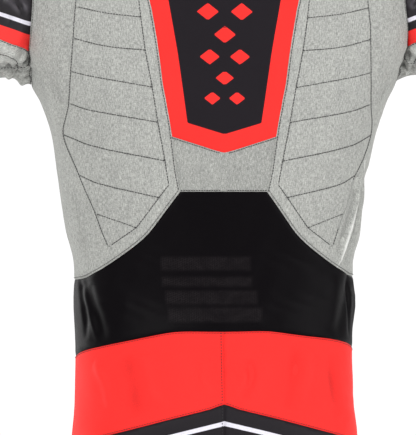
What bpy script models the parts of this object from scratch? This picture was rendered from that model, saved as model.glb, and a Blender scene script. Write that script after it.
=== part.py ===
# One-piece karting suit, as worn: a hollow garment of cut cloth pieces.
# Metres, +Z up. The wearer's back faces -Y and the wearer's left is -X.
# The origin is the middle of the neck at the height of the neck side.
import math
from collections import namedtuple

import bpy
from mathutils import Vector
from mathutils.geometry import delaunay_2d_cdt

for old in list(bpy.data.objects):
    bpy.data.objects.remove(old, do_unlink=True)

wall = 0.002            # cloth with its lining
seamShare = 0.0002      # half of the space between two cut pieces
puff = 0.0018           # rise of a quilted channel
tubePower = 2.4         # squareness of the torso rings
legPower = 2.2          # squareness of the leg and sleeve rings
crotchTop = -0.560      # the legs begin to part here
crotchPoint = -0.740    # the legs are two tubes below here
ankleSeam = -1.475
ankleHem = -1.520
flyHalf = 0.012         # half width of the strip over the zip
flyEnd = -0.605
collarHeight = 0.045
waistSeam = -0.443      # height of the waist seam at the side
hipSeam = -0.528        # height of the hip seam at the side
legSeam = -0.630        # height of the leg seam at the side
roundTorso = 0.5        # metres of cloth from the back middle to the front middle
capSlope = 0.33         # rise of the sleeve stripe, outwards
capStart = -0.185       # height where the stripe leaves the armhole
capTurn = 3             # place of that point round the armhole, from below
sleeveTurn = 24         # points round the armhole

# Torso rings. level is the height at the back middle, side and front are the
# heights at the sides and at the front middle.
Ring = namedtuple("Ring", "level side front halfWidth back belly")
torsoRings = [
    Ring(-0.015, 0.005, -0.075, 0.0750, -0.0680, 0.0620),
    Ring(-0.050, -0.012, -0.105, 0.1250, -0.0980, 0.0850),
    Ring(-0.095, -0.045, -0.140, 0.1950, -0.1180, 0.1030),
    Ring(-0.130, -0.090, -0.165, 0.2220, -0.1250, 0.1120),
    Ring(-0.170, -0.145, -0.190, 0.2220, -0.1270, 0.1180),
    Ring(-0.225, -0.225, -0.225, 0.2040, -0.1260, 0.1220),
    Ring(-0.245, -0.245, -0.245, 0.1935, -0.1255, 0.1215),
    Ring(-0.275, -0.275, -0.275, 0.1830, -0.1240, 0.1200),
    Ring(-0.310, -0.310, -0.310, 0.1755, -0.1210, 0.1170),
    Ring(-0.345, -0.345, -0.345, 0.1695, -0.1170, 0.1130),
    Ring(-0.385, -0.385, -0.385, 0.1645, -0.1110, 0.1100),
    Ring(-0.425, -0.425, -0.425, 0.1565, -0.1060, 0.1080),
    Ring(-0.470, -0.470, -0.470, 0.1565, -0.1040, 0.1060),
    Ring(-0.530, -0.530, -0.530, 0.1547, -0.1130, 0.1030),
    Ring(-0.575, -0.575, -0.575, 0.1555, -0.1220, 0.1020),
    Ring(-0.620, -0.620, -0.620, 0.1580, -0.1270, 0.1010),
    Ring(-0.680, -0.680, -0.680, 0.1630, -0.1240, 0.0980),
    Ring(-0.740, -0.740, -0.740, 0.1660, -0.1150, 0.0950),
]

# Rings of the right leg.
LegRing = namedtuple("LegRing", "level inner outer back front")
legRings = [
    LegRing(-0.740, 0.003, 0.166, -0.109, 0.086),
    LegRing(-0.800, 0.006, 0.168, -0.103, 0.085),
    LegRing(-0.900, 0.013, 0.163, -0.092, 0.082),
    LegRing(-1.000, 0.020, 0.157, -0.085, 0.078),
    LegRing(-1.100, 0.028, 0.153, -0.078, 0.078),
    LegRing(-1.200, 0.034, 0.152, -0.081, 0.070),
    LegRing(-1.300, 0.040, 0.150, -0.079, 0.066),
    LegRing(-1.400, 0.046, 0.146, -0.072, 0.060),
    LegRing(-1.475, 0.052, 0.140, -0.064, 0.050),
    LegRing(-1.530, 0.055, 0.136, -0.058, 0.044),
]

# Sections of the right sleeve: its top line, its under line, and its depth.
ArmRing = namedtuple("ArmRing", "topX topZ underX underZ midY halfY")
armRings = [
    ArmRing(0.225, -0.050, 0.222, -0.2190, 0.006, 0.070),
    ArmRing(0.262, -0.064, 0.240, -0.2180, 0.007, 0.072),
    ArmRing(0.305, -0.088, 0.260, -0.2270, 0.008, 0.073),
    ArmRing(0.350, -0.118, 0.284, -0.2460, 0.010, 0.073),
    ArmRing(0.396, -0.146, 0.312, -0.2700, 0.012, 0.072),
    ArmRing(0.443, -0.187, 0.357, -0.3060, 0.014, 0.069),
    ArmRing(0.488, -0.236, 0.396, -0.3340, 0.017, 0.065),
    ArmRing(0.526, -0.285, 0.426, -0.3640, 0.026, 0.061),
    ArmRing(0.562, -0.336, 0.468, -0.4100, 0.037, 0.057),
    ArmRing(0.598, -0.390, 0.516, -0.4540, 0.048, 0.050),
    ArmRing(0.626, -0.440, 0.556, -0.4950, 0.056, 0.042),
    ArmRing(0.646, -0.478, 0.584, -0.5260, 0.061, 0.037),
]
armEnd = 11
cuffEnd = 12

# Seams of the right half, as x and z seen from behind.
stripSeam = [(0.0930, -0.0700), (0.0880, -0.1000), (0.0815, -0.1370), (0.0760, -0.1660),
             (0.0710, -0.1980), (0.0640, -0.2450), (0.0570, -0.2855)]
tailSeam = [(0.0570, -0.2855), (0.0515, -0.3270), (0.0475, -0.3455)]
vSeam = [(0.0570, -0.2855), (0.0290, -0.2945), (0.0, -0.3030)]
lumbarSeam = [(0.0475, -0.3455), (0.0685, -0.3740), (0.0825, -0.3925), (0.0995, -0.4075),
              (0.1190, -0.4220), (0.1340, -0.4320), (0.1480, -0.4400)]
seatSeam = [(0.0, -0.4980), (0.0500, -0.4980), (0.0770, -0.5025), (0.1000, -0.5075),
            (0.1280, -0.5140), (0.1480, -0.5205)]
chevronSeam = [(0.0, -0.5765), (0.0165, -0.5820), (0.0550, -0.5915), (0.0940, -0.6020),
               (0.1250, -0.6110)]
armholeBack = [(0.1960, -0.0550), (0.2000, -0.0750), (0.2045, -0.1050), (0.2062, -0.1350),
               (0.2075, -0.1600), (0.2085, -0.1850)]
armholeBackLow = [(0.2085, -0.1850), (0.2078, -0.2000), (0.2055, -0.2140)]
armholeFront = [(0.1900, -0.0650), (0.1860, -0.0900), (0.1840, -0.1200), (0.1850, -0.1500),
                (0.1890, -0.1750), (0.1930, -0.1901)]
armholeFrontLow = [(0.1930, -0.1901), (0.1960, -0.2000), (0.2020, -0.2150)]

# Quilting lines of the right half: inner end, middle and outer end, as x and z.
quiltLines = [
    [(0.104, -0.040), (0.130, -0.044), (0.150, -0.050)],
    [(0.099, -0.084), (0.130, -0.079), (0.156, -0.073)],
    [(0.095, -0.120), (0.130, -0.115), (0.158, -0.108)],
    [(0.091, -0.156), (0.130, -0.151), (0.1605, -0.1435)],
    [(0.0862, -0.192), (0.130, -0.187), (0.163, -0.178)],
    [(0.0785, -0.232), (0.142, -0.220), (0.165, -0.214)],
    [(0.0722, -0.270), (0.1425, -0.2567), (0.1665, -0.248)],
    [(0.0643, -0.312), (0.142, -0.295), (0.1705, -0.282)],
    [(0.0702, -0.3517), (0.133, -0.3365), (0.1536, -0.3268)],
    [(0.094, -0.3845), (0.115, -0.3770), (0.1368, -0.369)],
    [(0.1215, -0.4045), (0.1230, -0.4055), (0.1240, -0.4045)],
]
quiltInner = [(0.104, -0.040), (0.099, -0.084), (0.095, -0.120), (0.091, -0.156), (0.0862, -0.192),
              (0.0785, -0.232), (0.0722, -0.270), (0.0643, -0.312), (0.060, -0.338),
              (0.0702, -0.3517), (0.094, -0.3845), (0.1215, -0.4045)]
quiltOuter = [(0.150, -0.050), (0.156, -0.073), (0.158, -0.108), (0.1605, -0.1435), (0.163, -0.178),
              (0.165, -0.214), (0.1665, -0.248), (0.1705, -0.282), (0.1536, -0.3268),
              (0.1368, -0.369), (0.1240, -0.4045)]

# Large folds of the right half: a line in space, its half breadth and its depth.
Fold = namedtuple("Fold", "start end breadth depth")
folds = [
    Fold((0.150, -0.045, -0.450), (0.142, -0.070, -0.500), 0.012, -0.0035),
    Fold((0.157, -0.010, -0.455), (0.155, -0.030, -0.515), 0.010, 0.0030),
    Fold((0.150, 0.040, -0.430), (0.150, 0.030, -0.500), 0.014, -0.0035),
    Fold((0.215, -0.050, -0.200), (0.262, -0.062, -0.175), 0.010, 0.0035),
    Fold((0.215, -0.035, -0.213), (0.275, -0.050, -0.212), 0.009, -0.0035),
    Fold((0.400, -0.030, -0.320), (0.440, -0.045, -0.255), 0.012, 0.0040),
    Fold((0.378, 0.010, -0.315), (0.415, 0.060, -0.265), 0.012, -0.0040),
    Fold((0.420, 0.030, -0.350), (0.460, 0.075, -0.300), 0.012, 0.0040),
    Fold((0.030, 0.060, -0.690), (0.110, 0.080, -0.660), 0.014, -0.0030),
    Fold((0.040, -0.095, -0.740), (0.110, -0.112, -0.715), 0.016, -0.0030),
    Fold((0.040, -0.074, -1.080), (0.140, -0.060, -1.060), 0.014, 0.0045),
    Fold((0.045, -0.074, -1.120), (0.145, -0.060, -1.105), 0.014, -0.0045),
    Fold((0.045, -0.074, -1.165), (0.140, -0.060, -1.145), 0.014, 0.0040),
    Fold((0.060, 0.060, -1.420), (0.130, 0.040, -1.405), 0.013, 0.0040),
    Fold((0.055, -0.066, -1.435), (0.135, -0.050, -1.425), 0.013, 0.0040),
]


def alongRows(rows, key, keys):
    """Values of a table at key, on a smooth curve through its rows."""
    last = len(rows) - 1
    low = 0
    while low < last - 1 and (keys[low + 1] - key) * (keys[1] - keys[0]) < 0:
        low += 1
    step = keys[low + 1] - keys[low]
    part = min(max((key - keys[low]) / step, 0.0), 1.0)
    before = rows[max(low - 1, 0)]
    after = rows[min(low + 2, last)]
    beforeKey = keys[max(low - 1, 0)]
    afterKey = keys[min(low + 2, last)]
    values = []
    for start, end, early, late in zip(rows[low], rows[low + 1], before, after):
        leave = (end - early) / (keys[low + 1] - beforeKey) * step
        arrive = (late - start) / (afterKey - keys[low]) * step
        square = part * part
        cube = square * part
        value = (2 * cube - 3 * square + 1) * start + (cube - 2 * square + part) * leave
        values.append(value + (3 * square - 2 * cube) * end + (cube - square) * arrive)
    return values


torsoKeys = [ring.level for ring in torsoRings]
legKeys = [ring.level for ring in legRings]


def signedPower(value, power):
    return math.copysign(abs(value) ** power, value)


def torsoPoint(turn, level):
    """turn is 0 at the back middle, 0.5 at the right side and 1 at the front middle."""
    ring = Ring(*alongRows(torsoRings, level, torsoKeys))
    angle = turn * math.pi
    across = math.sin(angle)
    depth = math.cos(angle)
    reach = ring.back if depth > 0 else ring.belly
    height = ring.level if depth > 0 else ring.front
    return Vector((
        ring.halfWidth * signedPower(across, 2 / tubePower),
        reach * abs(depth) ** (2 / tubePower),
        ring.side + (height - ring.side) * depth * depth,
    ))


def legPoint(turn, level):
    """turn is 0 and 1 at the inner leg, 0.25 behind, 0.5 outside and 0.75 in front."""
    ring = LegRing(*alongRows(legRings, level, legKeys))
    angle = turn * 2 * math.pi
    middleX = (ring.inner + ring.outer) / 2
    middleY = (ring.back + ring.front) / 2
    return Vector((
        middleX - (ring.outer - middleX) * signedPower(math.cos(angle), 2 / legPower),
        middleY + (ring.back - middleY) * signedPower(math.sin(angle), 2 / legPower),
        level,
    ))


def bodyPoint(turn, level):
    if level >= crotchTop:
        return torsoPoint(turn, level)
    if level <= crotchPoint:
        return legPoint(turn, level)
    if turn > 1:
        point = bodyPoint(2 - turn, level)
        return Vector((-point.x, point.y, point.z))
    share = ((crotchTop - level) / (crotchTop - crotchPoint)) ** 2.5
    return torsoPoint(turn, level).lerp(legPoint(turn, level), share)


def bodyNormal(turn, level):
    if turn > 1:
        normal = bodyNormal(2 - turn, level)
        return Vector((-normal.x, normal.y, normal.z))
    early = turn - 0.006
    late = turn + 0.006
    if crotchPoint < level < crotchTop:
        early = max(early, 0.0)
        late = min(late, 1.0)
    high = level + 0.002
    low = level - 0.002
    if level > crotchTop:
        low = max(low, crotchTop)
    elif level > crotchPoint:
        low = max(low, crotchPoint)
    else:
        high = min(high, crotchPoint)
    round_ = bodyPoint(late, level) - bodyPoint(early, level)
    up = bodyPoint(turn, high) - bodyPoint(turn, low)
    return round_.cross(up).normalized()


def onBody(x, z, front=False):
    """turn and level of the torso point at x and z."""
    low = crotchPoint
    high = torsoKeys[0]
    turn = 0.5
    for _ in range(48):
        level = (low + high) / 2
        halfWidth = alongRows(torsoRings, level, torsoKeys)[3]
        turn = math.asin(min(1.0, x / halfWidth) ** (tubePower / 2)) / math.pi
        if front:
            turn = 1 - turn
        if torsoPoint(turn, level).z > z:
            high = level
        else:
            low = level
    return (turn, level)


def spread(points, count, scale=(roundTorso, 1.0)):
    """count steps of like length on a smooth curve through the points."""
    keys = [0.0]
    for first, second in zip(points, points[1:]):
        length = math.hypot((second[0] - first[0]) * scale[0], (second[1] - first[1]) * scale[1])
        keys.append(keys[-1] + length)
    if len(points) == 2:
        middle = ((points[0][0] + points[1][0]) / 2, (points[0][1] + points[1][1]) / 2)
        points = [points[0], middle, points[1]]
        keys = [0.0, keys[1] / 2, keys[1]]
    made = [tuple(alongRows(points, keys[-1] * i / count, keys)) for i in range(count + 1)]
    made[0] = tuple(points[0])
    made[-1] = tuple(points[-1])
    return made


def onTorso(pairs, front=False):
    return [onBody(x, z, front) for x, z in pairs]


neck = torsoKeys[0]
shoulderTip = (0.5, -0.095)
armpit = (0.5, -0.225)
shoulderSplit = (0.5, -0.042)
capPlaces = sleeveTurn // 2 - capTurn
backArmhole = spread([armpit] + onTorso(armholeBackLow)[::-1], capTurn)
backArmhole += spread(onTorso(armholeBack)[::-1] + [shoulderTip], capPlaces)[1:]
frontArmhole = spread([shoulderTip] + onTorso(armholeFront, True), capPlaces)
frontArmhole += spread(onTorso(armholeFrontLow, True) + [armpit], capTurn)[1:]
armhole = backArmhole + frontArmhole[1:-1]


def armRingPoint(ring, turn):
    """Point of one sleeve section. turn is 0 below, 6 behind, 12 on top and 18 in front."""
    if ring == 0:
        whole = math.floor(turn)
        start = Vector(armhole[whole % sleeveTurn])
        end = Vector(armhole[(whole + 1) % sleeveTurn])
        return bodyPoint(*start.lerp(end, turn - whole))
    section = armRings[ring - 1]
    angle = turn * 2 * math.pi / sleeveTurn
    rise = 0.5 - 0.5 * signedPower(math.cos(angle), 2 / legPower)
    return Vector((
        section.underX + (section.topX - section.underX) * rise,
        section.midY - section.halfY * signedPower(math.sin(angle), 2 / legPower),
        section.underZ + (section.topZ - section.underZ) * rise,
    ))


def sleevePoint(turn, station):
    low = min(int(max(station, 0)), cuffEnd - 1)
    rings = [max(low - 1, 0), low, low + 1, min(low + 2, cuffEnd)]
    rows = [armRingPoint(ring, turn) for ring in rings]
    part = station - low
    start, end = rows[1], rows[2]
    leave = (end - rows[0]) / (rings[2] - rings[0])
    arrive = (rows[3] - start) / (rings[3] - rings[1])
    square = part * part
    cube = square * part
    point = start * (2 * cube - 3 * square + 1) + leave * (cube - 2 * square + part)
    return point + end * (3 * square - 2 * cube) + arrive * (cube - square)


def sleeveNormal(turn, station):
    early = max(station - 0.08, 0.0)
    late = min(station + 0.08, cuffEnd)
    round_ = sleevePoint(turn + 0.4, station) - sleevePoint(turn - 0.4, station)
    along = sleevePoint(turn, late) - sleevePoint(turn, early)
    return along.cross(round_).normalized()


def collarPoint(turn, rise):
    base = torsoPoint(turn, neck)
    top = Vector((base.x * 0.90, base.y * 0.90 + 0.004, base.z + collarHeight))
    lean = 0.006 * math.sin(rise * math.pi)
    return base.lerp(top, rise) - Vector((base.x, base.y, 0)).normalized() * lean


def collarNormal(turn, rise):
    round_ = collarPoint(turn + 0.01, rise) - collarPoint(turn - 0.01, rise)
    up = collarPoint(turn, min(rise + 0.05, 1)) - collarPoint(turn, max(rise - 0.05, 0))
    return round_.cross(up).normalized()


def fold(point):
    """How far the large folds move a point outwards."""
    total = 0.0
    mirrored = Vector((abs(point.x), point.y, point.z))
    for crease in folds:
        start = Vector(crease.start)
        line = Vector(crease.end) - start
        share = min(max((mirrored - start).dot(line) / line.length_squared, 0.0), 1.0)
        far = (mirrored - start - line * share).length / crease.breadth
        total += crease.depth * math.exp(-far * far)
    return total


# scale is the metres of cloth for one step of turn and of height. hand is 1 where
# turn, height and the outward normal are left-handed, and -1 where they aren't.
Surface = namedtuple("Surface", "point normal scale hand")
body = Surface(bodyPoint, bodyNormal, (roundTorso, 1.0), -1)
sleeve = Surface(sleevePoint, sleeveNormal, (0.019, 0.048), 1)
collar = Surface(collarPoint, collarNormal, (roundTorso * 0.45, collarHeight), -1)
mitres = {}


def mitreKey(surface, place):
    return (surface is sleeve, surface is collar, round(place[0], 5), round(place[1], 5))


def shareMitre(surfaceA, placeA, surfaceB, placeB):
    """One direction for both walls where two surfaces meet at an angle."""
    middle = (surfaceA.normal(*placeA) + surfaceB.normal(*placeB)).normalized()
    mitres[mitreKey(surfaceA, placeA)] = middle
    mitres[mitreKey(surfaceB, placeB)] = middle


def onSurface(surface, place):
    normal = mitres.get(mitreKey(surface, place)) or surface.normal(*place)
    point = surface.point(*place)
    return point + normal * fold(point), normal


def narrowed(points, normals):
    """Moves the points of an edge loop into their piece by the seam's share."""
    moved = []
    count = len(points)
    for i in range(count):
        back = points[i] - points[i - 1]
        ahead = points[(i + 1) % count] - points[i]
        inward = normals[i].cross(back).normalized()
        inwardAhead = normals[i].cross(ahead).normalized()
        share = max(1 + inward.dot(inwardAhead), 0.08)
        moved.append(points[i] + (inward + inwardAhead) * (seamShare / share))
    return moved


def inside(place, loop):
    crossings = 0
    x, y = place
    for (ax, ay), (bx, by) in zip(loop, loop[1:] + loop[:1]):
        if (ay > y) != (by > y) and x < ax + (y - ay) * (bx - ax) / (by - ay):
            crossings += 1
    return crossings % 2 == 1


def clearance(place, loop):
    best = 1.0
    x, y = place
    for (ax, ay), (bx, by) in zip(loop, loop[1:] + loop[:1]):
        dx, dy = bx - ax, by - ay
        length = dx * dx + dy * dy
        share = min(max(((x - ax) * dx + (y - ay) * dy) / length, 0.0), 1.0)
        best = min(best, math.hypot(x - ax - dx * share, y - ay - dy * share))
    return best


def material(name, colour, rough):
    made = bpy.data.materials.new(name)
    made.use_nodes = True
    shader = made.node_tree.nodes["Principled BSDF"]
    shader.inputs["Base Color"].default_value = (*colour, 1)
    shader.inputs["Roughness"].default_value = rough
    made.diffuse_color = (*colour, 1)
    return made


colours = {
    "red": ((0.88, 0.05, 0.045), 0.7),
    "black": ((0.012, 0.011, 0.013), 0.55),
    "grey": ((0.50, 0.51, 0.48), 0.85),
}


def addPiece(name, points, faces, colour):
    mesh = bpy.data.meshes.new(name)
    mesh.from_pydata([tuple(point) for point in points], [], faces)
    mesh.validate()
    for polygon in mesh.polygons:
        polygon.use_smooth = True
    made = bpy.data.objects.new(name, mesh)
    made.data.materials.append(material(name + "_cloth", *colours[colour]))
    bpy.context.scene.collection.objects.link(made)
    return made


def addPair(name, points, faces, colour):
    """The right piece, and its mirror image for the left."""
    addPiece(name + "_right", points, faces, colour)
    mirrored = [(-point[0], point[1], point[2]) for point in points]
    addPiece(name + "_left", mirrored, [face[::-1] for face in faces], colour)


def cutPiece(surface, loop, spacing, inner=None, lift=None):
    """Points and faces of a closed piece of cloth inside a loop of places on a surface."""
    scaleA, scaleB = surface.scale
    flatLoop = [(a * scaleA, b * scaleB) for a, b in loop]
    area = sum(p[0] * q[1] - q[0] * p[1] for p, q in zip(flatLoop, flatLoop[1:] + flatLoop[:1]))
    if area > 0:
        loop = loop[::-1]
        flatLoop = flatLoop[::-1]
    flat = list(flatLoop)
    own = [(a * scaleA, b * scaleB) for a, b in inner or []]
    flat += own
    left = min(p[0] for p in flatLoop)
    right = max(p[0] for p in flatLoop)
    low = min(p[1] for p in flatLoop)
    high = max(p[1] for p in flatLoop)
    rows = int((high - low) / (spacing * 0.866)) + 1
    columns = int((right - left) / spacing) + 2
    for row in range(rows + 1):
        for column in range(columns + 1):
            x = left + (column + 0.5 * (row % 2) - 0.25) * spacing
            y = low + (row + 0.3) * spacing * 0.866
            if not inside((x, y), flatLoop) or clearance((x, y), flatLoop) < 0.55 * spacing:
                continue
            if own and min(math.hypot(x - p[0], y - p[1]) for p in own) < 0.62 * spacing:
                continue
            flat.append((x, y))
    edges = [(i, (i + 1) % len(loop)) for i in range(len(loop))]
    result = delaunay_2d_cdt([Vector(p) for p in flat], edges, [], 1, 1e-7)
    flat = [tuple(p) for p in result[0]]
    triangles = [tuple(face) for face in result[2]]
    places = list(loop) + [(x / scaleA, y / scaleB) for x, y in flat[len(loop):]]
    pairs = [onSurface(surface, place) for place in places]
    points = [pair[0] for pair in pairs]
    normals = [pair[1] for pair in pairs]
    edgeCount = len(loop)
    signed = [normal * surface.hand for normal in normals[:edgeCount]]
    points[:edgeCount] = narrowed(points[:edgeCount], signed)
    count = len(points)
    outer = list(points)
    if lift:
        outer = [p + n * lift(*place) for p, n, place in zip(points, normals, places)]
    under = [p - n * wall for p, n in zip(points, normals)]
    faces = []
    for a, b, c in triangles:
        facing = (points[b] - points[a]).cross(points[c] - points[a])
        if facing.dot(normals[a] + normals[b] + normals[c]) < 0:
            b, c = c, b
        faces.append((a, b, c))
        faces.append((a + count, c + count, b + count))
    rims = set()
    for a, b, c in faces[::2]:
        rims |= {(a, b), (b, c), (c, a)}
    for a, b in sorted(rims):
        if (b, a) not in rims:
            faces.append((b, a, a + count, b + count))
    return outer + under, faces


def tubePiece(surface, turns, stations, closed):
    """Points and faces of a band of cloth, with open ends."""
    rings = []
    rims = []
    for station in stations:
        pairs = [onSurface(surface, (turn, station)) for turn in turns]
        rings.append([pair[0] for pair in pairs])
        rims.append([pair[1] for pair in pairs])
    across = len(turns)
    for row in (0, len(stations) - 1):
        beside = 1 if row == 0 else len(stations) - 2
        for i in range(across):
            after = rings[row][(i + 1) % across] if closed or i < across - 1 else rings[row][i]
            before = rings[row][i - 1] if closed or i else rings[row][i]
            away = rims[row][i].cross(after - before).normalized()
            if away.dot(rings[beside][i] - rings[row][i]) < 0:
                away = -away
            rings[row][i] = rings[row][i] + away * seamShare
    if not closed:
        for row in range(len(stations)):
            for i, beside in ((0, 1), (across - 1, across - 2)):
                step = rings[row][beside] - rings[row][i]
                rings[row][i] = rings[row][i] + step.normalized() * seamShare * 2
    outer = [p for ring in rings for p in ring]
    normals = [n for rim in rims for n in rim]
    under = [p - n * wall for p, n in zip(outer, normals)]
    count = len(outer)
    faces = []
    reach = across if closed else across - 1
    for row in range(len(stations) - 1):
        for i in range(reach):
            a = row * across + i
            b = row * across + (i + 1) % across
            faces.append((a, b, b + across, a + across))
    first = faces[0]
    facing = (outer[first[1]] - outer[first[0]]).cross(outer[first[3]] - outer[first[0]])
    if facing.dot(normals[first[0]]) < 0:
        faces = [face[::-1] for face in faces]
    faces += [tuple(count + i for i in face[::-1]) for face in list(faces)]
    half = len(faces) // 2
    rims = set()
    for face in faces[:half]:
        rims |= set(zip(face, face[1:] + face[:1]))
    for a, b in sorted(rims):
        if (b, a) not in rims:
            faces.append((b, a, a + count, b + count))
    return outer + under, faces


def flip(places):
    return [(-turn, level) for turn, level in places]


def flyTurn(level):
    halfWidth = alongRows(torsoRings, level, torsoKeys)[3]
    return 1 - math.asin((flyHalf / halfWidth) ** (tubePower / 2)) / math.pi


# Shared seam points, as turn and level, top to bottom or middle to side.
neckToSide = [(0.5 * i / 6, neck) for i in range(7)]
neckToFly = spread([(0.5, neck), (flyTurn(neck), neck)], 6)
shoulderInner = spread([(0.5, neck), shoulderSplit], 2)
shoulderOuter = spread([shoulderSplit, shoulderTip], 4)
strip = spread([shoulderSplit] + onTorso(stripSeam), 13)
tailSide = spread(onTorso(tailSeam), 3)
vEdge = spread(onTorso(vSeam), 3)
tailFoot = spread([onBody(0.0475, -0.3455), onBody(0.0, -0.3455)], 3)
lumbarTop = spread(onTorso(lumbarSeam) + [(0.5, waistSeam)], 11)
seatTop = spread(onTorso(seatSeam) + [(0.5, hipSeam)], 12)
chevron = spread(onTorso(chevronSeam) + [(0.5, legSeam)], 12)
sideChest = spread([armpit, (0.5, waistSeam)], 11)
sideWaist = spread([(0.5, waistSeam), (0.5, hipSeam)], 4)
sideHip = spread([(0.5, hipSeam), (0.5, legSeam)], 4)
seatMiddle = spread([seatTop[0], chevron[0]], 3)
crotchBack = spread([chevron[0], (0.0, crotchPoint)], 8)
crotchFront = spread([(1.0, flyEnd), (1.0, crotchPoint)], 7)
inseam = spread([(0.0, crotchPoint), (0.0, ankleSeam)], 28)
outseam = spread([(0.5, legSeam), (0.5, ankleSeam)], 32)
hemBack = spread([(0.0, ankleSeam), (0.5, ankleSeam)], 7)
hemFront = spread([(0.5, ankleSeam), (1.0, ankleSeam)], 7)
flyChestLevels = [neck, -0.032, -0.052, -0.075, -0.10, -0.13, -0.16, -0.195, -0.225,
                  -0.255, -0.29, -0.325, -0.365, -0.405, waistSeam]
flyWaistLevels = [waistSeam, -0.465, -0.487, -0.508, hipSeam]
flyHipLevels = [hipSeam, -0.553, -0.579, flyEnd]
flyChest = [(flyTurn(level), level) for level in flyChestLevels]
flyWaist = [(flyTurn(level), level) for level in flyWaistLevels]
flyHip = [(flyTurn(level), level) for level in flyHipLevels]
waistFront = spread([(0.5, waistSeam), flyWaist[0]], 10)
hipFront = spread([(0.5, hipSeam), flyHip[0]], 10)
legFront = spread([(0.5, legSeam), (0.75, -0.618), flyHip[-1]], 10)

for place in neckToSide + neckToFly[1:] + [(1.0, neck)]:
    shareMitre(body, place, collar, (place[0], 0.0))
    if 0 < place[0] < 1:
        middle = mitres[mitreKey(body, place)]
        mirrored = Vector((-middle.x, middle.y, middle.z))
        for turn in (-place[0], 2 - place[0]):
            mitres[mitreKey(body, (turn, neck))] = mirrored
            mitres[mitreKey(collar, (turn, 0.0))] = mirrored
for turn, place in enumerate(armhole):
    shareMitre(body, place, sleeve, (turn, 0))
for turn in range(-4, 0):
    key = mitreKey(sleeve, (turn, 0))
    mitres[key] = mitres[mitreKey(sleeve, (turn + sleeveTurn, 0))]

# Middle pieces of the back.
halfBack = shoulderInner[:-1] + strip[:-1] + vEdge
outline = neckToSide[:-1] + halfBack
loop = outline + flip(outline[1:-1])[::-1]
addPiece("back_centre", *cutPiece(body, loop, 0.024), "red")

outline = vEdge[::-1][:-1] + tailSide[:-1] + tailFoot
loop = outline + flip(outline[1:-1])[::-1]
addPiece("back_tail", *cutPiece(body, loop, 0.020), "grey")

outline = tailFoot[::-1][:-1] + lumbarTop[:-1] + sideWaist[:-1] + seatTop[::-1]
loop = outline + flip(outline[1:-1])[::-1]
addPiece("lumbar", *cutPiece(body, loop, 0.024), "black")


def lineHeight(line, x):
    """Height of a quilting line at x."""
    for (ax, az), (bx, bz) in zip(line, line[1:]):
        if x <= bx or (bx, bz) == line[-1]:
            return az + (bz - az) * (x - ax) / (bx - ax)


def edgeReach(edge, z):
    """x of a quilting edge at height z."""
    for (ax, az), (bx, bz) in zip(edge, edge[1:]):
        if z >= bz or (bx, bz) == edge[-1]:
            return ax + (bx - ax) * (z - az) / (bz - az)


def quiltPuff(turn, level):
    """Rise of the quilted side back."""
    point = bodyPoint(turn, level)
    x, z = abs(point.x), point.z
    if point.y > 0 or z > -0.040 or z < -0.4045:
        return 0.0
    side = min(x - edgeReach(quiltInner, z), edgeReach(quiltOuter, z) - x)
    if side <= 0:
        return 0.0
    rise = 0.0
    for upper, lower in zip(quiltLines, quiltLines[1:]):
        top = lineHeight(upper, x)
        foot = lineHeight(lower, x)
        if foot < z < top:
            part = (top - z) / (top - foot)
            rise = max(rise, math.sin(math.pi * part) ** 0.7)
    return puff * rise * min(1.0, side / 0.010) ** 0.7


# Side backs, with points on the quilting lines and between them.
quiltPlaces = []
for upper, lower in zip(quiltLines, quiltLines[1:]):
    for part in (0.0, 0.33, 0.67):
        rail = [Vector(a).lerp(Vector(b), part) for a, b in zip(upper, lower)]
        width = math.hypot(rail[2][0] - rail[0][0], rail[2][1] - rail[0][1])
        steps = max(int(width / 0.014), 2)
        for i in range(steps + 1):
            x = rail[0][0] + (rail[2][0] - rail[0][0]) * i / steps
            quiltPlaces.append(onBody(x, lineHeight(rail, x)))
loop = strip[:-1] + tailSide[:-1] + lumbarTop[:-1] + sideChest[::-1][:-1] + backArmhole[:-1]
loop = loop + shoulderOuter[::-1][:-1]
addPair("back_side", *cutPiece(body, loop, 0.024, quiltPlaces, quiltPuff), "grey")

loop = seatTop[:-1] + sideHip[:-1] + chevron[::-1][:-1] + seatMiddle[::-1][:-1]
addPair("seat", *cutPiece(body, loop, 0.024), "red")

loop = chevron[:-1] + outseam[:-1] + hemBack[::-1][:-1] + inseam[::-1][:-1] + crotchBack[::-1][:-1]
addPair("leg_back", *cutPiece(body, loop, 0.030), "black")

# Fronts.
innerFront = [(1.0 - turn, level) for turn, level in inseam]
loop = legFront[:-1] + [flyHip[-1]] + crotchFront[:-1] + innerFront[:-1]
loop = loop + hemFront[::-1][:-1] + outseam[::-1][:-1]
addPair("leg_front", *cutPiece(body, loop, 0.030), "black")

loop = hipFront[:-1] + flyHip[:-1] + legFront[::-1][:-1] + sideHip[::-1][:-1]
addPair("hip_front", *cutPiece(body, loop, 0.028), "red")

loop = waistFront[:-1] + flyWaist[:-1] + hipFront[::-1][:-1] + sideWaist[::-1][:-1]
addPair("waist_front", *cutPiece(body, loop, 0.026), "black")

loop = neckToFly[:-1] + flyChest[:-1] + waistFront[::-1][:-1] + sideChest[::-1][:-1]
loop = loop + frontArmhole[::-1][:-1] + shoulderOuter[::-1][:-1] + shoulderInner[::-1][:-1]
addPair("chest_front", *cutPiece(body, loop, 0.027), "grey")

flySide = flyChest[:-1] + flyWaist[:-1] + flyHip
otherSide = [(2 - turn, level) for turn, level in flySide]
loop = [(1.0, neck)] + otherSide + [(1.0, flyEnd)] + flySide[::-1]
addPiece("front_fly", *cutPiece(body, loop, 0.030), "black")

# Sleeves: the cap ends on a slanted plane, which rises outwards.


def capSide(turn, station):
    point = sleevePoint(turn, station)
    return point.z - capStart - capSlope * (point.x - 0.206)


def solve(measure, low, high):
    for _ in range(40):
        middle = (low + high) / 2
        if (measure(middle) > 0) == (measure(high) > 0):
            high = middle
        else:
            low = middle
    return (low + high) / 2


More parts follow.
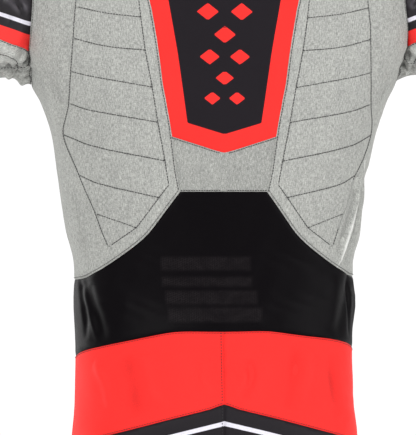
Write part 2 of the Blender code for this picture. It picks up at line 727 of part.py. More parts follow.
capEnd = sleeveTurn - capTurn
capEdge = [(capTurn, 0.0)]
for turn in range(capTurn + 1, capEnd):
    capEdge.append((turn, solve(lambda station: capSide(turn, station), 0, 8)))
capEdge.append((capEnd, 0.0))
capArmhole = [(turn, 0.0) for turn in range(capTurn + 1, capEnd)]
loop = capEdge + capArmhole[::-1]
addPair("sleeve_cap", *cutPiece(sleeve, loop, 0.022), "black")

stations = [0.5 * i for i in range(2 * armEnd + 1)]
backUnder = [(2, station) for station in stations]
frontUnder = [(22, station) for station in stations]
hemUpper = [(turn, armEnd) for turn in range(2, 23)]
loop = [(2, 0.0)] + capEdge + frontUnder[:-1] + hemUpper[::-1][:-1]
loop = loop + backUnder[::-1][:-1]
addPair("sleeve_upper", *cutPiece(sleeve, loop, 0.024), "grey")

underTop = [(turn, 0.0) for turn in range(-2, 3)]
underHem = [(turn, armEnd) for turn in range(-2, 3)]
underBack = [(2, station) for station in stations]
underFront = [(-2, station) for station in stations]
loop = underTop[:-1] + underBack[:-1] + underHem[::-1][:-1] + underFront[::-1][:-1]
addPair("sleeve_under", *cutPiece(sleeve, loop, 0.024), "grey")

# Cuffs and collar.
turns = list(range(sleeveTurn))
addPair("wrist_cuff", *tubePiece(sleeve, turns, [armEnd, armEnd + 0.5, cuffEnd], True), "black")
turns = [place[0] for place in hemBack[:-1] + hemFront[:-1]]
levels = [ankleSeam, (ankleSeam + ankleHem) / 2, ankleHem]
addPair("ankle_cuff", *tubePiece(body, turns, levels, True), "black")
halfTurns = [place[0] for place in neckToSide + neckToFly[1:]] + [1.0]
turns = [-turn for turn in halfTurns[:0:-1]] + halfTurns
addPiece("collar", *tubePiece(collar, turns, [0.0, 0.35, 0.7, 1.0], False), "black")
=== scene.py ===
import math

import bpy
import numpy as np
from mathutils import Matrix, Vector
from mathutils.geometry import delaunay_2d_cdt


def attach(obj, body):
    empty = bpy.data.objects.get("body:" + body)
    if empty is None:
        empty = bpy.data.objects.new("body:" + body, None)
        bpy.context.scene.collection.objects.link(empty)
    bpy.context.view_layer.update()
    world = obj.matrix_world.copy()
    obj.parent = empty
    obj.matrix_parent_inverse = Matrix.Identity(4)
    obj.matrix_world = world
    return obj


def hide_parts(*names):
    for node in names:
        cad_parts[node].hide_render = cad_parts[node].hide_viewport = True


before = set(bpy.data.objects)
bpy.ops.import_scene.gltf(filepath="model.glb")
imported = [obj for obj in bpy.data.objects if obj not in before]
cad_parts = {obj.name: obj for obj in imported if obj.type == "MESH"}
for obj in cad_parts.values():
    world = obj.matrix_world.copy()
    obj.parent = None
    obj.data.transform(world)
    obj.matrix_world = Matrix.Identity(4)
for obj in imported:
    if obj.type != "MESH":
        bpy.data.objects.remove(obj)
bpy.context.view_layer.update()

# A one-piece karting suit, seen from behind. Each cut piece is a thin shell on the form of its
# solid, with its seams drawn in, its quilting and its creases. Lengths and levels are in metres.
form = {
    "tubePower": 2.4,  # how square the torso's sections are, 2 for an oval
    "legPower": 2.2,  # the same of the legs and sleeves
    "roundTorso": 0.5,  # length of half the torso's girth, about
    "neck": -0.015,
    "collarHeight": 0.045,
    "waistSeam": -0.443,
    "hipSeam": -0.528,
    "legSeam": -0.63,
    "crotchTop": -0.56,  # where the torso begins to part into legs
    "crotchPoint": -0.74,
    "crotchEase": 2.5,
    "ankleSeam": -1.475,
    "ankleHem": -1.52,
    "flyHalf": 0.012,
    "flyEnd": -0.605,
    "capSlope": 0.33,  # slant of the sleeve's stripes
    "capStart": -0.185,  # level of their lower edge at the half width capMiddle
    "capMiddle": 0.206,
    "capTurn": 3,  # turn of the sleeve where its cap begins
    "sleeveTurn": 24,  # turns round a sleeve
    "armEnd": 11,  # stations along it, to the cuff's seam and its hem
    "cuffEnd": 12,
    "levelSearch": 46,  # halvings that find the level of a point with a given height
}
# The cloth itself.
wall = {
    "thickness": 0.0013,
    "innerSpacing": 1.6,  # spacing of the inner side's points, times the outer side's
    "seamShare": 0.00002,  # how far a piece stays back from its seam
    "seamDip": 0.0007,
    "seamBreadth": 0.0023,
    "rippleFade": 0.02,
}

# Torso rings: height at the back middle, at the side and at the front middle, half width,
# depth behind and depth in front.
torsoRings = np.array([
    (-0.015, 0.005, -0.075, 0.075, -0.068, 0.062),
    (-0.05, -0.012, -0.105, 0.125, -0.098, 0.085),
    (-0.095, -0.045, -0.14, 0.195, -0.118, 0.103),
    (-0.13, -0.09, -0.165, 0.222, -0.125, 0.112),
    (-0.17, -0.145, -0.19, 0.222, -0.127, 0.118),
    (-0.225, -0.225, -0.225, 0.204, -0.126, 0.122),
    (-0.245, -0.245, -0.245, 0.1935, -0.1255, 0.1215),
    (-0.275, -0.275, -0.275, 0.183, -0.124, 0.12),
    (-0.31, -0.31, -0.31, 0.1755, -0.121, 0.117),
    (-0.345, -0.345, -0.345, 0.1695, -0.117, 0.113),
    (-0.385, -0.385, -0.385, 0.1645, -0.111, 0.11),
    (-0.425, -0.425, -0.425, 0.1565, -0.106, 0.108),
    (-0.47, -0.47, -0.47, 0.1565, -0.104, 0.106),
    (-0.53, -0.53, -0.53, 0.1547, -0.113, 0.103),
    (-0.575, -0.575, -0.575, 0.1555, -0.122, 0.102),
    (-0.62, -0.62, -0.62, 0.158, -0.127, 0.101),
    (-0.68, -0.68, -0.68, 0.163, -0.124, 0.098),
    (-0.74, -0.74, -0.74, 0.166, -0.115, 0.095),
])

# Rings of the right leg: height, inner side, outer side, back and front.
legRings = np.array([
    (-0.74, 0.0, 0.166, -0.109, 0.086),
    (-0.8, 0.006, 0.168, -0.103, 0.085),
    (-0.9, 0.013, 0.163, -0.092, 0.082),
    (-1.0, 0.02, 0.157, -0.085, 0.078),
    (-1.1, 0.028, 0.153, -0.078, 0.078),
    (-1.2, 0.034, 0.152, -0.081, 0.07),
    (-1.3, 0.04, 0.15, -0.079, 0.066),
    (-1.4, 0.046, 0.146, -0.072, 0.06),
    (-1.475, 0.052, 0.14, -0.064, 0.05),
    (-1.53, 0.055, 0.136, -0.058, 0.044),
])

# Sections of the right sleeve: top line x and z, under line x and z, middle y and half depth.
armRings = np.array([
    (0.225, -0.05, 0.222, -0.219, 0.006, 0.07),
    (0.262, -0.064, 0.24, -0.218, 0.007, 0.072),
    (0.305, -0.088, 0.26, -0.227, 0.008, 0.073),
    (0.35, -0.118, 0.284, -0.246, 0.01, 0.073),
    (0.396, -0.146, 0.312, -0.27, 0.012, 0.072),
    (0.443, -0.187, 0.357, -0.306, 0.014, 0.069),
    (0.488, -0.236, 0.396, -0.334, 0.017, 0.065),
    (0.526, -0.285, 0.426, -0.364, 0.026, 0.061),
    (0.562, -0.336, 0.468, -0.41, 0.037, 0.057),
    (0.598, -0.39, 0.516, -0.454, 0.048, 0.05),
    (0.626, -0.44, 0.556, -0.495, 0.056, 0.042),
    (0.646, -0.478, 0.584, -0.526, 0.061, 0.037),
])

# Seams of the right half, as x and z seen from behind.
seams = {
    "strip": [(0.093, -0.07), (0.088, -0.1), (0.0815, -0.137), (0.076, -0.166),
              (0.071, -0.198), (0.064, -0.245), (0.057, -0.2855)],
    "tail": [(0.057, -0.2855), (0.0515, -0.327), (0.0475, -0.3455)],
    "v": [(0.057, -0.2855), (0.029, -0.2945), (0.0, -0.303)],
    "tailFoot": [(0.0475, -0.3455), (0.0, -0.3455)],
    "lumbar": [(0.0475, -0.3455), (0.0685, -0.374), (0.0825, -0.3925), (0.0995, -0.4075),
               (0.119, -0.422), (0.134, -0.432), (0.148, -0.44)],
    "seat": [(0.0, -0.498), (0.05, -0.498), (0.077, -0.5025), (0.1, -0.5075),
             (0.128, -0.514), (0.148, -0.5205)],
    "chevron": [(0.0, -0.5765), (0.0165, -0.582), (0.055, -0.5915), (0.094, -0.602),
                (0.125, -0.611)],
    "armholeBack": [(0.196, -0.055), (0.2, -0.075), (0.2045, -0.105), (0.2062, -0.135),
                    (0.2075, -0.16), (0.2085, -0.185)],
    "armholeBackLow": [(0.2085, -0.185), (0.2078, -0.2), (0.2055, -0.214)],
    "armholeFront": [(0.19, -0.065), (0.186, -0.09), (0.184, -0.12), (0.185, -0.15),
                     (0.189, -0.175), (0.193, -0.1901)],
    "armholeFrontLow": [(0.193, -0.1901), (0.196, -0.2), (0.202, -0.215)],
}

# Quilting lines of the right half: inner end, middle and outer end.
quiltLines = [
    [(0.099, -0.084), (0.13, -0.079), (0.156, -0.073)],
    [(0.095, -0.12), (0.13, -0.115), (0.158, -0.108)],
    [(0.091, -0.156), (0.13, -0.151), (0.1605, -0.1435)],
    [(0.0862, -0.192), (0.13, -0.187), (0.163, -0.178)],
    [(0.0785, -0.232), (0.142, -0.22), (0.165, -0.214)],
    [(0.0722, -0.27), (0.1425, -0.2567), (0.1665, -0.248)],
    [(0.0643, -0.312), (0.142, -0.295), (0.1705, -0.282)],
    [(0.0702, -0.3517), (0.133, -0.3365), (0.1536, -0.3268)],
    [(0.094, -0.3845), (0.115, -0.377), (0.1368, -0.369)],
    [(0.1215, -0.4045), (0.123, -0.4055), (0.124, -0.4045)],
]
quiltInner = [line[0] for line in quiltLines]
quiltInner.insert(7, (0.06, -0.338))
quiltOuter = [line[-1] for line in quiltLines]
quilting = {
    "rise": 0.0016,
    "top": -0.07,
    "foot": -0.404,
    "roundness": 0.5,
    "sideFade": 0.008,
    "sidePower": 0.6,
}

# Large folds of both halves: start, end, half breadth and depth.
largeFolds = [
    ((0.15, -0.045, -0.45), (0.142, -0.07, -0.5), 0.012, -0.0035),
    ((0.157, -0.01, -0.455), (0.155, -0.03, -0.515), 0.01, 0.0006),
    ((0.15, 0.04, -0.43), (0.15, 0.03, -0.5), 0.014, -0.0035),
    ((0.215, -0.05, -0.2), (0.262, -0.062, -0.175), 0.01, 0.0035),
    ((0.215, -0.035, -0.213), (0.275, -0.05, -0.212), 0.009, -0.0035),
    ((0.4, -0.03, -0.32), (0.44, -0.045, -0.255), 0.012, 0.004),
    ((0.378, 0.01, -0.315), (0.415, 0.06, -0.265), 0.012, -0.004),
    ((0.42, 0.03, -0.35), (0.46, 0.075, -0.3), 0.012, 0.004),
    ((0.03, 0.06, -0.69), (0.11, 0.08, -0.66), 0.014, -0.003),
    ((0.04, -0.095, -0.74), (0.11, -0.112, -0.715), 0.016, -0.003),
    ((0.04, -0.074, -1.08), (0.14, -0.06, -1.06), 0.014, 0.0045),
    ((0.045, -0.074, -1.12), (0.145, -0.06, -1.105), 0.014, -0.0045),
    ((0.045, -0.074, -1.165), (0.14, -0.06, -1.145), 0.014, 0.004),
    ((0.06, 0.06, -1.42), (0.13, 0.04, -1.405), 0.013, 0.004),
    ((0.055, -0.066, -1.435), (0.135, -0.05, -1.425), 0.013, 0.004),
]

# Creases: start, middle and end, half breadth and depth. Those of the body
# are x and z seen from behind.
backCreases = [
    (-0.153, -0.44, -0.1495, -0.47, -0.146, -0.507, 0.005, -0.0022),
    (-0.15, -0.45, -0.1435, -0.48, -0.134, -0.512, 0.0045, 0.0016),
    (-0.143, -0.448, -0.136, -0.478, -0.1235, -0.513, 0.0065, -0.0017),
    (-0.12, -0.436, -0.108, -0.462, -0.098, -0.496, 0.01, 0.0008),
    (0.147, -0.438, 0.1478, -0.47, 0.147, -0.512, 0.004, -0.0028),
    (0.1535, -0.444, 0.155, -0.475, 0.1525, -0.51, 0.0055, 0.0012),
    (0.129, -0.44, 0.127, -0.465, 0.122, -0.5, 0.011, 0.0014),
    (0.115, -0.432, 0.111, -0.46, 0.106, -0.492, 0.008, -0.0008),
    (0.016, -0.536, 0.023, -0.549, 0.012, -0.569, 0.004, 0.0029),
    (0.026, -0.529, 0.03, -0.547, 0.02, -0.571, 0.0048, -0.0025),
    (0.098, -0.519, 0.093, -0.548, 0.086, -0.58, 0.008, 0.0033),
    (0.082, -0.513, 0.079, -0.545, 0.07, -0.582, 0.0072, -0.0025),
    (0.125, -0.525, 0.124, -0.552, 0.13, -0.592, 0.0072, -0.0029),
    (-0.014, -0.528, -0.023, -0.545, -0.012, -0.566, 0.0044, 0.0023),
    (-0.085, -0.522, -0.08, -0.55, -0.07, -0.578, 0.0088, 0.0029),
    (-0.106, -0.524, -0.1, -0.552, -0.094, -0.59, 0.008, -0.0025),
    (-0.138, -0.534, -0.128, -0.552, -0.123, -0.584, 0.0064, 0.0029),
    (0.165, -0.318, 0.1503, -0.369, 0.1345, -0.424, 0.0028, 0.004),
    (0.159, -0.322, 0.1445, -0.37, 0.129, -0.42, 0.0045, -0.002),
    (0.168, -0.326, 0.1552, -0.372, 0.14, -0.428, 0.0028, -0.0024),
    (0.17, -0.33, 0.16, -0.372, 0.1475, -0.428, 0.003, 0.0024),
    (0.164, -0.216, 0.157, -0.205, 0.15, -0.196, 0.006, 0.0007),
    (-0.193, -0.222, -0.184, -0.25, -0.179, -0.28, 0.005, 0.0011),
    (-0.185, -0.218, -0.176, -0.246, -0.172, -0.272, 0.005, -0.0009),
    (-0.16, -0.34, -0.152, -0.38, -0.146, -0.42, 0.006, -0.0009),
    (0.19, -0.22, 0.18, -0.24, 0.174, -0.264, 0.005, -0.001),
    (-0.02, -0.316, -0.012, -0.326, -0.018, -0.34, 0.005, 0.0005),
    (0.021, -0.312, 0.016, -0.325, 0.023, -0.341, 0.005, -0.0005),
]
frontCreases = [
    (0.178, -0.222, 0.15, -0.236, 0.118, -0.228, 0.008, 0.0022),
    (0.176, -0.24, 0.146, -0.258, 0.112, -0.254, 0.007, -0.0018),
    (0.168, -0.268, 0.134, -0.29, 0.096, -0.288, 0.009, 0.0016),
    (-0.179, -0.22, -0.154, -0.24, -0.124, -0.24, 0.0075, 0.002),
    (-0.174, -0.244, -0.148, -0.266, -0.108, -0.27, 0.008, -0.0017),
    (0.024, -0.3, 0.06, -0.322, 0.102, -0.318, 0.01, 0.0012),
    (-0.024, -0.332, -0.064, -0.35, -0.112, -0.34, 0.01, 0.0014),
    (0.02, -0.404, 0.062, -0.42, 0.116, -0.408, 0.008, 0.0022),
    (-0.02, -0.41, -0.06, -0.426, -0.124, -0.42, 0.008, 0.002),
    (0.026, -0.424, 0.07, -0.436, 0.124, -0.428, 0.007, -0.0018),
    (-0.024, -0.39, -0.056, -0.402, -0.1, -0.394, 0.008, -0.0015),
    (0.022, -0.462, 0.068, -0.476, 0.126, -0.464, 0.008, 0.0024),
    (0.022, -0.484, 0.064, -0.498, 0.12, -0.49, 0.007, -0.0022),
    (-0.022, -0.458, -0.072, -0.47, -0.128, -0.466, 0.008, 0.0022),
    (-0.022, -0.478, -0.066, -0.494, -0.118, -0.492, 0.008, -0.002),
    (0.018, -0.556, 0.054, -0.574, 0.104, -0.56, 0.009, 0.0022),
    (-0.018, -0.56, -0.056, -0.58, -0.11, -0.572, 0.009, 0.002),
    (0.016, -0.59, 0.05, -0.6, 0.098, -0.592, 0.008, -0.0018),
    (-0.016, -0.584, -0.046, -0.602, -0.09, -0.598, 0.008, -0.0016),
]
# Creases of both legs, as turn and level, for the right and the left leg.
legCreases = {
    "right": [
        (0.04, -0.69, 0.16, -0.668, 0.3, -0.676, 0.009, 0.0026),
        (0.03, -0.72, 0.17, -0.7, 0.33, -0.712, 0.008, -0.0024),
        (0.06, -0.76, 0.2, -0.744, 0.36, -0.77, 0.009, 0.002),
        (0.96, -0.69, 0.86, -0.676, 0.72, -0.7, 0.009, 0.0024),
        (0.97, -0.726, 0.85, -0.716, 0.7, -0.74, 0.008, -0.002),
        (0.09, -1.046, 0.23, -1.062, 0.38, -1.05, 0.008, 0.003),
        (0.08, -1.096, 0.24, -1.108, 0.4, -1.09, 0.007, -0.0028),
        (0.11, -1.138, 0.26, -1.128, 0.42, -1.14, 0.007, 0.0024),
        (0.56, -1.06, 0.7, -1.078, 0.83, -1.066, 0.011, 0.0018),
        (0.6, -1.15, 0.74, -1.134, 0.88, -1.15, 0.009, -0.0018),
        (0.06, -1.39, 0.26, -1.404, 0.44, -1.392, 0.008, 0.0028),
        (0.04, -1.424, 0.24, -1.414, 0.42, -1.43, 0.007, -0.0024),
        (0.54, -1.41, 0.72, -1.424, 0.92, -1.408, 0.008, 0.0024),
        (0.56, -1.446, 0.76, -1.438, 0.94, -1.45, 0.006, -0.002),
        (0.48, -0.82, 0.52, -0.9, 0.5, -0.98, 0.011, 0.0014),
        (0.28, -0.86, 0.24, -0.93, 0.27, -1.0, 0.013, 0.0012),
    ],
    "left": [
        (0.05, -0.684, 0.18, -0.664, 0.32, -0.684, 0.009, 0.0024),
        (0.03, -0.714, 0.19, -0.704, 0.32, -0.722, 0.008, -0.0022),
        (0.08, -0.772, 0.22, -0.752, 0.34, -0.764, 0.008, 0.0018),
        (0.96, -0.7, 0.84, -0.68, 0.74, -0.69, 0.009, 0.0024),
        (0.97, -0.734, 0.83, -0.722, 0.72, -0.732, 0.008, -0.002),
        (0.1, -1.052, 0.25, -1.07, 0.4, -1.062, 0.008, 0.0028),
        (0.07, -1.09, 0.23, -1.1, 0.39, -1.102, 0.007, -0.0028),
        (0.12, -1.146, 0.27, -1.136, 0.4, -1.15, 0.008, 0.0024),
        (0.58, -1.052, 0.72, -1.07, 0.86, -1.07, 0.011, 0.0018),
        (0.62, -1.142, 0.76, -1.13, 0.9, -1.142, 0.009, -0.0016),
        (0.08, -1.396, 0.24, -1.408, 0.43, -1.4, 0.008, 0.0026),
        (0.06, -1.432, 0.26, -1.42, 0.43, -1.436, 0.007, -0.0024),
        (0.56, -1.416, 0.74, -1.43, 0.9, -1.414, 0.008, 0.0022),
        (0.58, -1.452, 0.76, -1.444, 0.93, -1.454, 0.006, -0.0018),
        (0.47, -0.84, 0.51, -0.91, 0.49, -0.99, 0.011, 0.0014),
        (0.26, -0.84, 0.23, -0.92, 0.26, -0.99, 0.013, -0.001),
    ],
}
# Creases of the sleeves, as turn and station.
sleeveCreases = {
    "left": [
        (2.15, 0.0, 2.05, 0.35, 1.7, 0.74, 0.004, 0.0062),
        (2.75, 0.02, 2.55, 0.4, 2.2, 0.8, 0.0045, -0.0059),
        (3.4, 0.05, 3.05, 0.5, 2.7, 0.95, 0.005, 0.0042),
        (1.88, 0.0, 1.8, 0.58, 1.55, 1.25, 0.0036, -0.0062),
        (1.45, 0.0, 1.35, 0.3, 1.1, 0.55, 0.0045, 0.0062),
        (1.0, 0.05, 0.95, 0.4, 0.7, 0.75, 0.0045, -0.0055),
        (0.4, 0.05, 0.3, 0.45, 0.1, 0.9, 0.006, 0.0051),
        (2.6, 1.95, 2.55, 1.5, 2.2, 1.05, 0.0055, -0.0055),
        (3.1, 2.1, 2.95, 1.65, 2.6, 1.2, 0.0055, 0.0051),
        (3.95, 1.8, 3.7, 1.3, 3.35, 0.85, 0.0055, 0.0038),
        (1.3, 1.9, 1.2, 1.5, 0.9, 1.1, 0.0055, 0.0055),
        (7.1, 0.15, 7.7, 0.6, 8.6, 1.1, 0.006, 0.0043),
        (6.7, 0.3, 7.2, 0.8, 8.0, 1.5, 0.0055, -0.0041),
        (6.3, 0.25, 6.6, 0.9, 7.4, 1.8, 0.0065, 0.0038),
        (8.2, 0.15, 8.9, 0.55, 9.8, 0.9, 0.0055, -0.0035),
        (9.2, 0.12, 9.9, 0.55, 10.8, 0.95, 0.007, 0.0032),
        (6.3, 1.45, 5.95, 1.05, 5.45, 0.75, 0.004, 0.0034),
        (6.2, 1.15, 5.85, 0.8, 5.35, 0.5, 0.0038, -0.0032),
        (6.15, 0.85, 5.75, 0.5, 5.25, 0.2, 0.004, 0.0034),
        (6.0, 1.75, 5.7, 1.4, 5.3, 1.1, 0.0045, -0.0028),
    ],
    "right": [
        (2.2, 0.0, 2.1, 0.4, 1.8, 0.85, 0.004, 0.0059),
        (2.65, 0.02, 2.5, 0.45, 2.3, 0.9, 0.0045, -0.0055),
        (1.75, 0.0, 1.6, 0.45, 1.3, 1.0, 0.0038, -0.0062),
        (1.3, 0.02, 1.2, 0.4, 0.9, 0.8, 0.005, 0.0059),
        (0.7, 0.05, 0.65, 0.45, 0.4, 0.85, 0.005, -0.0051),
        (3.3, 0.05, 3.1, 0.6, 2.8, 1.3, 0.005, 0.0038),
        (2.5, 1.9, 2.45, 1.5, 2.1, 1.1, 0.0055, 0.0051),
        (3.3, 2.0, 3.0, 1.6, 2.7, 1.3, 0.0055, -0.0046),
        (7.0, 0.15, 7.5, 0.7, 8.3, 1.3, 0.006, 0.0038),
        (6.5, 0.3, 6.9, 0.9, 7.6, 1.6, 0.006, -0.0035),
        (8.4, 0.15, 9.1, 0.6, 10.0, 1.0, 0.0065, 0.0032),
        (6.2, 0.9, 5.8, 0.55, 5.3, 0.22, 0.0042, 0.0032),
        (6.25, 1.2, 5.9, 0.85, 5.4, 0.55, 0.004, -0.003),
    ],
    "both": [
        (20.5, 0.05, 20.9, 0.6, 21.6, 1.2, 0.006, 0.0038),
        (21.4, 0.05, 21.7, 0.5, 22.4, 1.0, 0.005, -0.0035),
        (18.0, 0.12, 18.4, 0.7, 19.2, 1.4, 0.008, 0.0026),
        (0.0, 5.2, 3.0, 5.5, 6.0, 5.3, 0.007, 0.0032),
        (21.0, 5.4, 19.0, 5.9, 16.0, 5.7, 0.007, 0.0041),
        (21.5, 6.2, 19.5, 6.5, 16.5, 6.4, 0.006, -0.0041),
        (22.0, 6.8, 19.6, 7.2, 16.8, 7.0, 0.007, 0.0038),
        (23.5, 7.4, 26.0, 7.7, 28.5, 7.3, 0.007, -0.0026),
        (8.0, 6.3, 10.0, 6.7, 12.0, 6.4, 0.008, 0.0026),
        (3.0, 3.4, 6.0, 3.8, 9.0, 3.5, 0.011, 0.0017),
        (15.0, 3.0, 18.0, 3.5, 21.0, 3.3, 0.011, 0.002),
        (2.0, 9.9, 6.0, 10.2, 10.0, 9.9, 0.006, 0.0035),
        (4.0, 10.5, 8.0, 10.3, 12.0, 10.55, 0.005, -0.0029),
        (14.0, 9.8, 18.0, 10.1, 22.0, 9.9, 0.006, 0.0032),
        (13.0, 10.4, 17.0, 10.5, 21.0, 10.3, 0.005, -0.0026),
    ],
}


# A smooth step from start to end that leaves and arrives with the given slopes.
def eased(start, end, leave, arrive, part):
    square = part * part
    cube = square * part
    value = (2 * cube - 3 * square + 1) * start + (cube - 2 * square + part) * leave
    return value + (3 * square - 2 * cube) * end + (cube - square) * arrive


# Values of a table at each key, on a smooth curve through its rows.
def alongRows(table, keys, key):
    table = np.asarray(table, float)
    keys = np.asarray(keys, float)
    key = np.atleast_1d(np.asarray(key, float))
    if keys[0] > keys[-1]:
        table = table[::-1]
        keys = keys[::-1]
    last = len(keys) - 1
    low = np.clip(np.searchsorted(keys, key, side="right") - 1, 0, last - 1)
    before = np.maximum(low - 1, 0)
    after = np.minimum(low + 2, last)
    step = (keys[low + 1] - keys[low])[:, None]
    part = np.clip((key - keys[low])[:, None] / step, 0, 1)
    start = table[low]
    end = table[low + 1]
    leave = (end - table[before]) / (keys[low + 1] - keys[before])[:, None] * step
    arrive = (table[after] - start) / (keys[after] - keys[low])[:, None] * step
    return eased(start, end, leave, arrive, part)


def ringsAt(rings, level):
    return alongRows(rings, rings[:, 0], level)


def signedPower(value, power):
    return np.sign(value) * np.abs(value) ** power


def unit(vectors):
    return vectors / np.maximum(np.linalg.norm(vectors, axis=1), 1e-12)[:, None]


def smooth(share):
    share = np.clip(share, 0, 1)
    return share * share * (3 - 2 * share)


# turn runs from 0 at the back middle over 0.5 at the right side to 1 at the front middle.
def torsoPoint(turn, level):
    ring = ringsAt(torsoRings, level)
    angle = turn * math.pi
    across = np.sin(angle)
    depth = np.cos(angle)
    reach = np.where(depth > 0, ring[:, 4], ring[:, 5])
    height = np.where(depth > 0, ring[:, 0], ring[:, 2])
    x = ring[:, 3] * signedPower(across, 2 / form["tubePower"])
    y = reach * np.abs(depth) ** (2 / form["tubePower"])
    z = ring[:, 1] + (height - ring[:, 1]) * depth * depth
    return np.stack([x, y, z], 1)


def legPoint(turn, level):
    ring = ringsAt(legRings, level)
    angle = turn * 2 * math.pi
    middleX = (ring[:, 1] + ring[:, 2]) / 2
    middleY = (ring[:, 3] + ring[:, 4]) / 2
    x = middleX - (ring[:, 2] - middleX) * signedPower(np.cos(angle), 2 / form["legPower"])
    y = middleY + (ring[:, 3] - middleY) * signedPower(np.sin(angle), 2 / form["legPower"])
    return np.stack([x, y, ring[:, 0]], 1)


# The torso runs over into the leg between the top and the point of the crotch.
def bodyPoint(turn, level):
    turn = np.atleast_1d(np.asarray(turn, float))
    level = np.atleast_1d(np.asarray(level, float))
    turn, level = np.broadcast_arrays(turn, level)
    side = np.where(((turn > 1) | (turn < 0)), -1.0, 1.0)
    whole = np.where(turn > 1, 2 - turn, np.abs(turn))
    share = np.clip((form["crotchTop"] - level) / (form["crotchTop"] - form["crotchPoint"]), 0, 1)
    share = (share ** form["crotchEase"])[:, None]
    point = torsoPoint(whole, level) * (1 - share) + legPoint(whole, level) * share
    point[:, 2] = np.where(share[:, 0] > 0, level, point[:, 2])
    point[:, 0] *= side
    return point


# Steps to both sides that give the surfaces' normals.
probe = {
    "bodyTurn": 0.004,
    "bodyLevel": 0.002,
    "sleeveTurn": 0.25,
    "sleeveStation": 0.06,
    "collarTurn": 0.01,
    "collarRise": 0.05,
}


def bodyNormal(turn, level):
    turn = np.asarray(turn, float)
    level = np.asarray(level, float)
    early = turn - probe["bodyTurn"]
    late = turn + probe["bodyTurn"]
    parted = level < form["crotchTop"]
    early = np.where(parted & (turn >= 0), np.maximum(early, 0), early)
    late = np.where(parted & (turn <= 1), np.minimum(late, 1), late)
    low = level - probe["bodyLevel"]
    high = level + probe["bodyLevel"]
    high = np.where(level <= form["crotchPoint"], np.minimum(high, form["crotchPoint"]), high)
    around = bodyPoint(late, level) - bodyPoint(early, level)
    up = bodyPoint(turn, high) - bodyPoint(turn, low)
    return unit(np.cross(around, up))


# turn and level of the torso points with the given x and z.
def onBody(pairs, front=False):
    pairs = np.asarray(pairs, float)
    low = np.full(len(pairs), form["crotchPoint"])
    high = np.full(len(pairs), form["neck"])
    turn = np.zeros(len(pairs))
    for _ in range(form["levelSearch"]):
        level = (low + high) / 2
        halfWidth = ringsAt(torsoRings, level)[:, 3]
        turn = np.arcsin(np.minimum(1, pairs[:, 0] / halfWidth) ** (form["tubePower"] / 2)) / math.pi
        turn = 1 - turn if front else turn
        above = torsoPoint(turn, level)[:, 2] > pairs[:, 1]
        high = np.where(above, level, high)
        low = np.where(above, low, level)
    return [tuple(place) for place in np.stack([turn, level], 1)]


# count steps of like length on a smooth curve through the points.
def spread(points, count, scale=(form["roundTorso"], 1.0)):
    points = [tuple(point) for point in points]
    if len(points) == 2:
        points.insert(1, tuple((a + b) / 2 for a, b in zip(*points)))
    flat = np.array(points) * scale
    keys = np.concatenate([[0], np.cumsum(np.linalg.norm(np.diff(flat, axis=0), axis=1))])
    made = alongRows(points, keys, np.linspace(0, keys[-1], count + 1))
    made[0] = points[0]
    made[-1] = points[-1]
    return [tuple(place) for place in made]


armpit = (0.5, -0.225)
shoulderTip = (0.5, -0.095)
shoulderSplit = (0.5, -0.042)
halfTurn = form["sleeveTurn"] // 2
capPlaces = halfTurn - form["capTurn"]
armholeBack = spread([armpit] + onBody(seams["armholeBackLow"])[::-1], form["capTurn"])
armholeBack += spread(onBody(seams["armholeBack"])[::-1] + [shoulderTip], capPlaces)[1:]
armholeFront = spread([shoulderTip] + onBody(seams["armholeFront"], True), capPlaces)
armholeFront += spread(onBody(seams["armholeFrontLow"], True) + [armpit], form["capTurn"])[1:]


# Place on the body of a point of the armhole, counted from below over the back.
def armholePlace(turn):
    turn = np.mod(np.atleast_1d(np.asarray(turn, float)), form["sleeveTurn"])
    steps = np.arange(halfTurn + 1)
    back = alongRows(armholeBack, steps, np.minimum(turn, halfTurn))
    front = alongRows(armholeFront, steps, np.maximum(turn - halfTurn, 0))
    return np.where((turn <= halfTurn)[:, None], back, front)


# Ring 0 is the armhole itself, and each later ring is a row of armRings.
def armRingPoint(ring, turn):
    section = armRings[np.clip(ring - 1, 0, len(armRings) - 1)]
    angle = turn * 2 * math.pi / form["sleeveTurn"]
    rise = 0.5 - 0.5 * signedPower(np.cos(angle), 2 / form["legPower"])
    x = section[:, 2] + (section[:, 0] - section[:, 2]) * rise
    y = section[:, 4] - section[:, 5] * signedPower(np.sin(angle), 2 / form["legPower"])
    z = section[:, 3] + (section[:, 1] - section[:, 3]) * rise
    place = armholePlace(turn)
    atBody = bodyPoint(place[:, 0], place[:, 1])
    return np.where((ring == 0)[:, None], atBody, np.stack([x, y, z], 1))


def sleevePoint(turn, station):
    turn = np.atleast_1d(np.asarray(turn, float))
    station = np.atleast_1d(np.asarray(station, float))
    turn, station = np.broadcast_arrays(turn, station)
    low = np.clip(station.astype(int), 0, form["cuffEnd"] - 1)
    rings = [np.maximum(low - 1, 0), low, low + 1, np.minimum(low + 2, form["cuffEnd"])]
    before, start, end, after = [armRingPoint(ring, turn) for ring in rings]
    leave = (end - before) / (rings[2] - rings[0])[:, None]
    arrive = (after - start) / (rings[3] - rings[1])[:, None]
    return eased(start, end, leave, arrive, (station - low)[:, None])


def sleeveNormal(turn, station):
    aside = probe["sleeveTurn"]
    early = np.maximum(np.asarray(station, float) - probe["sleeveStation"], 0)
    late = np.minimum(np.asarray(station, float) + probe["sleeveStation"], form["cuffEnd"])
    around = sleevePoint(turn + aside, station) - sleevePoint(turn - aside, station)
    along = sleevePoint(turn, late) - sleevePoint(turn, early)
    return unit(np.cross(along, around))


# The stand collar: its top's width as a share of the neck's, how far it leans forward, its hollow.
collarForm = {"topShare": 0.9, "forward": 0.004, "hollow": 0.006}


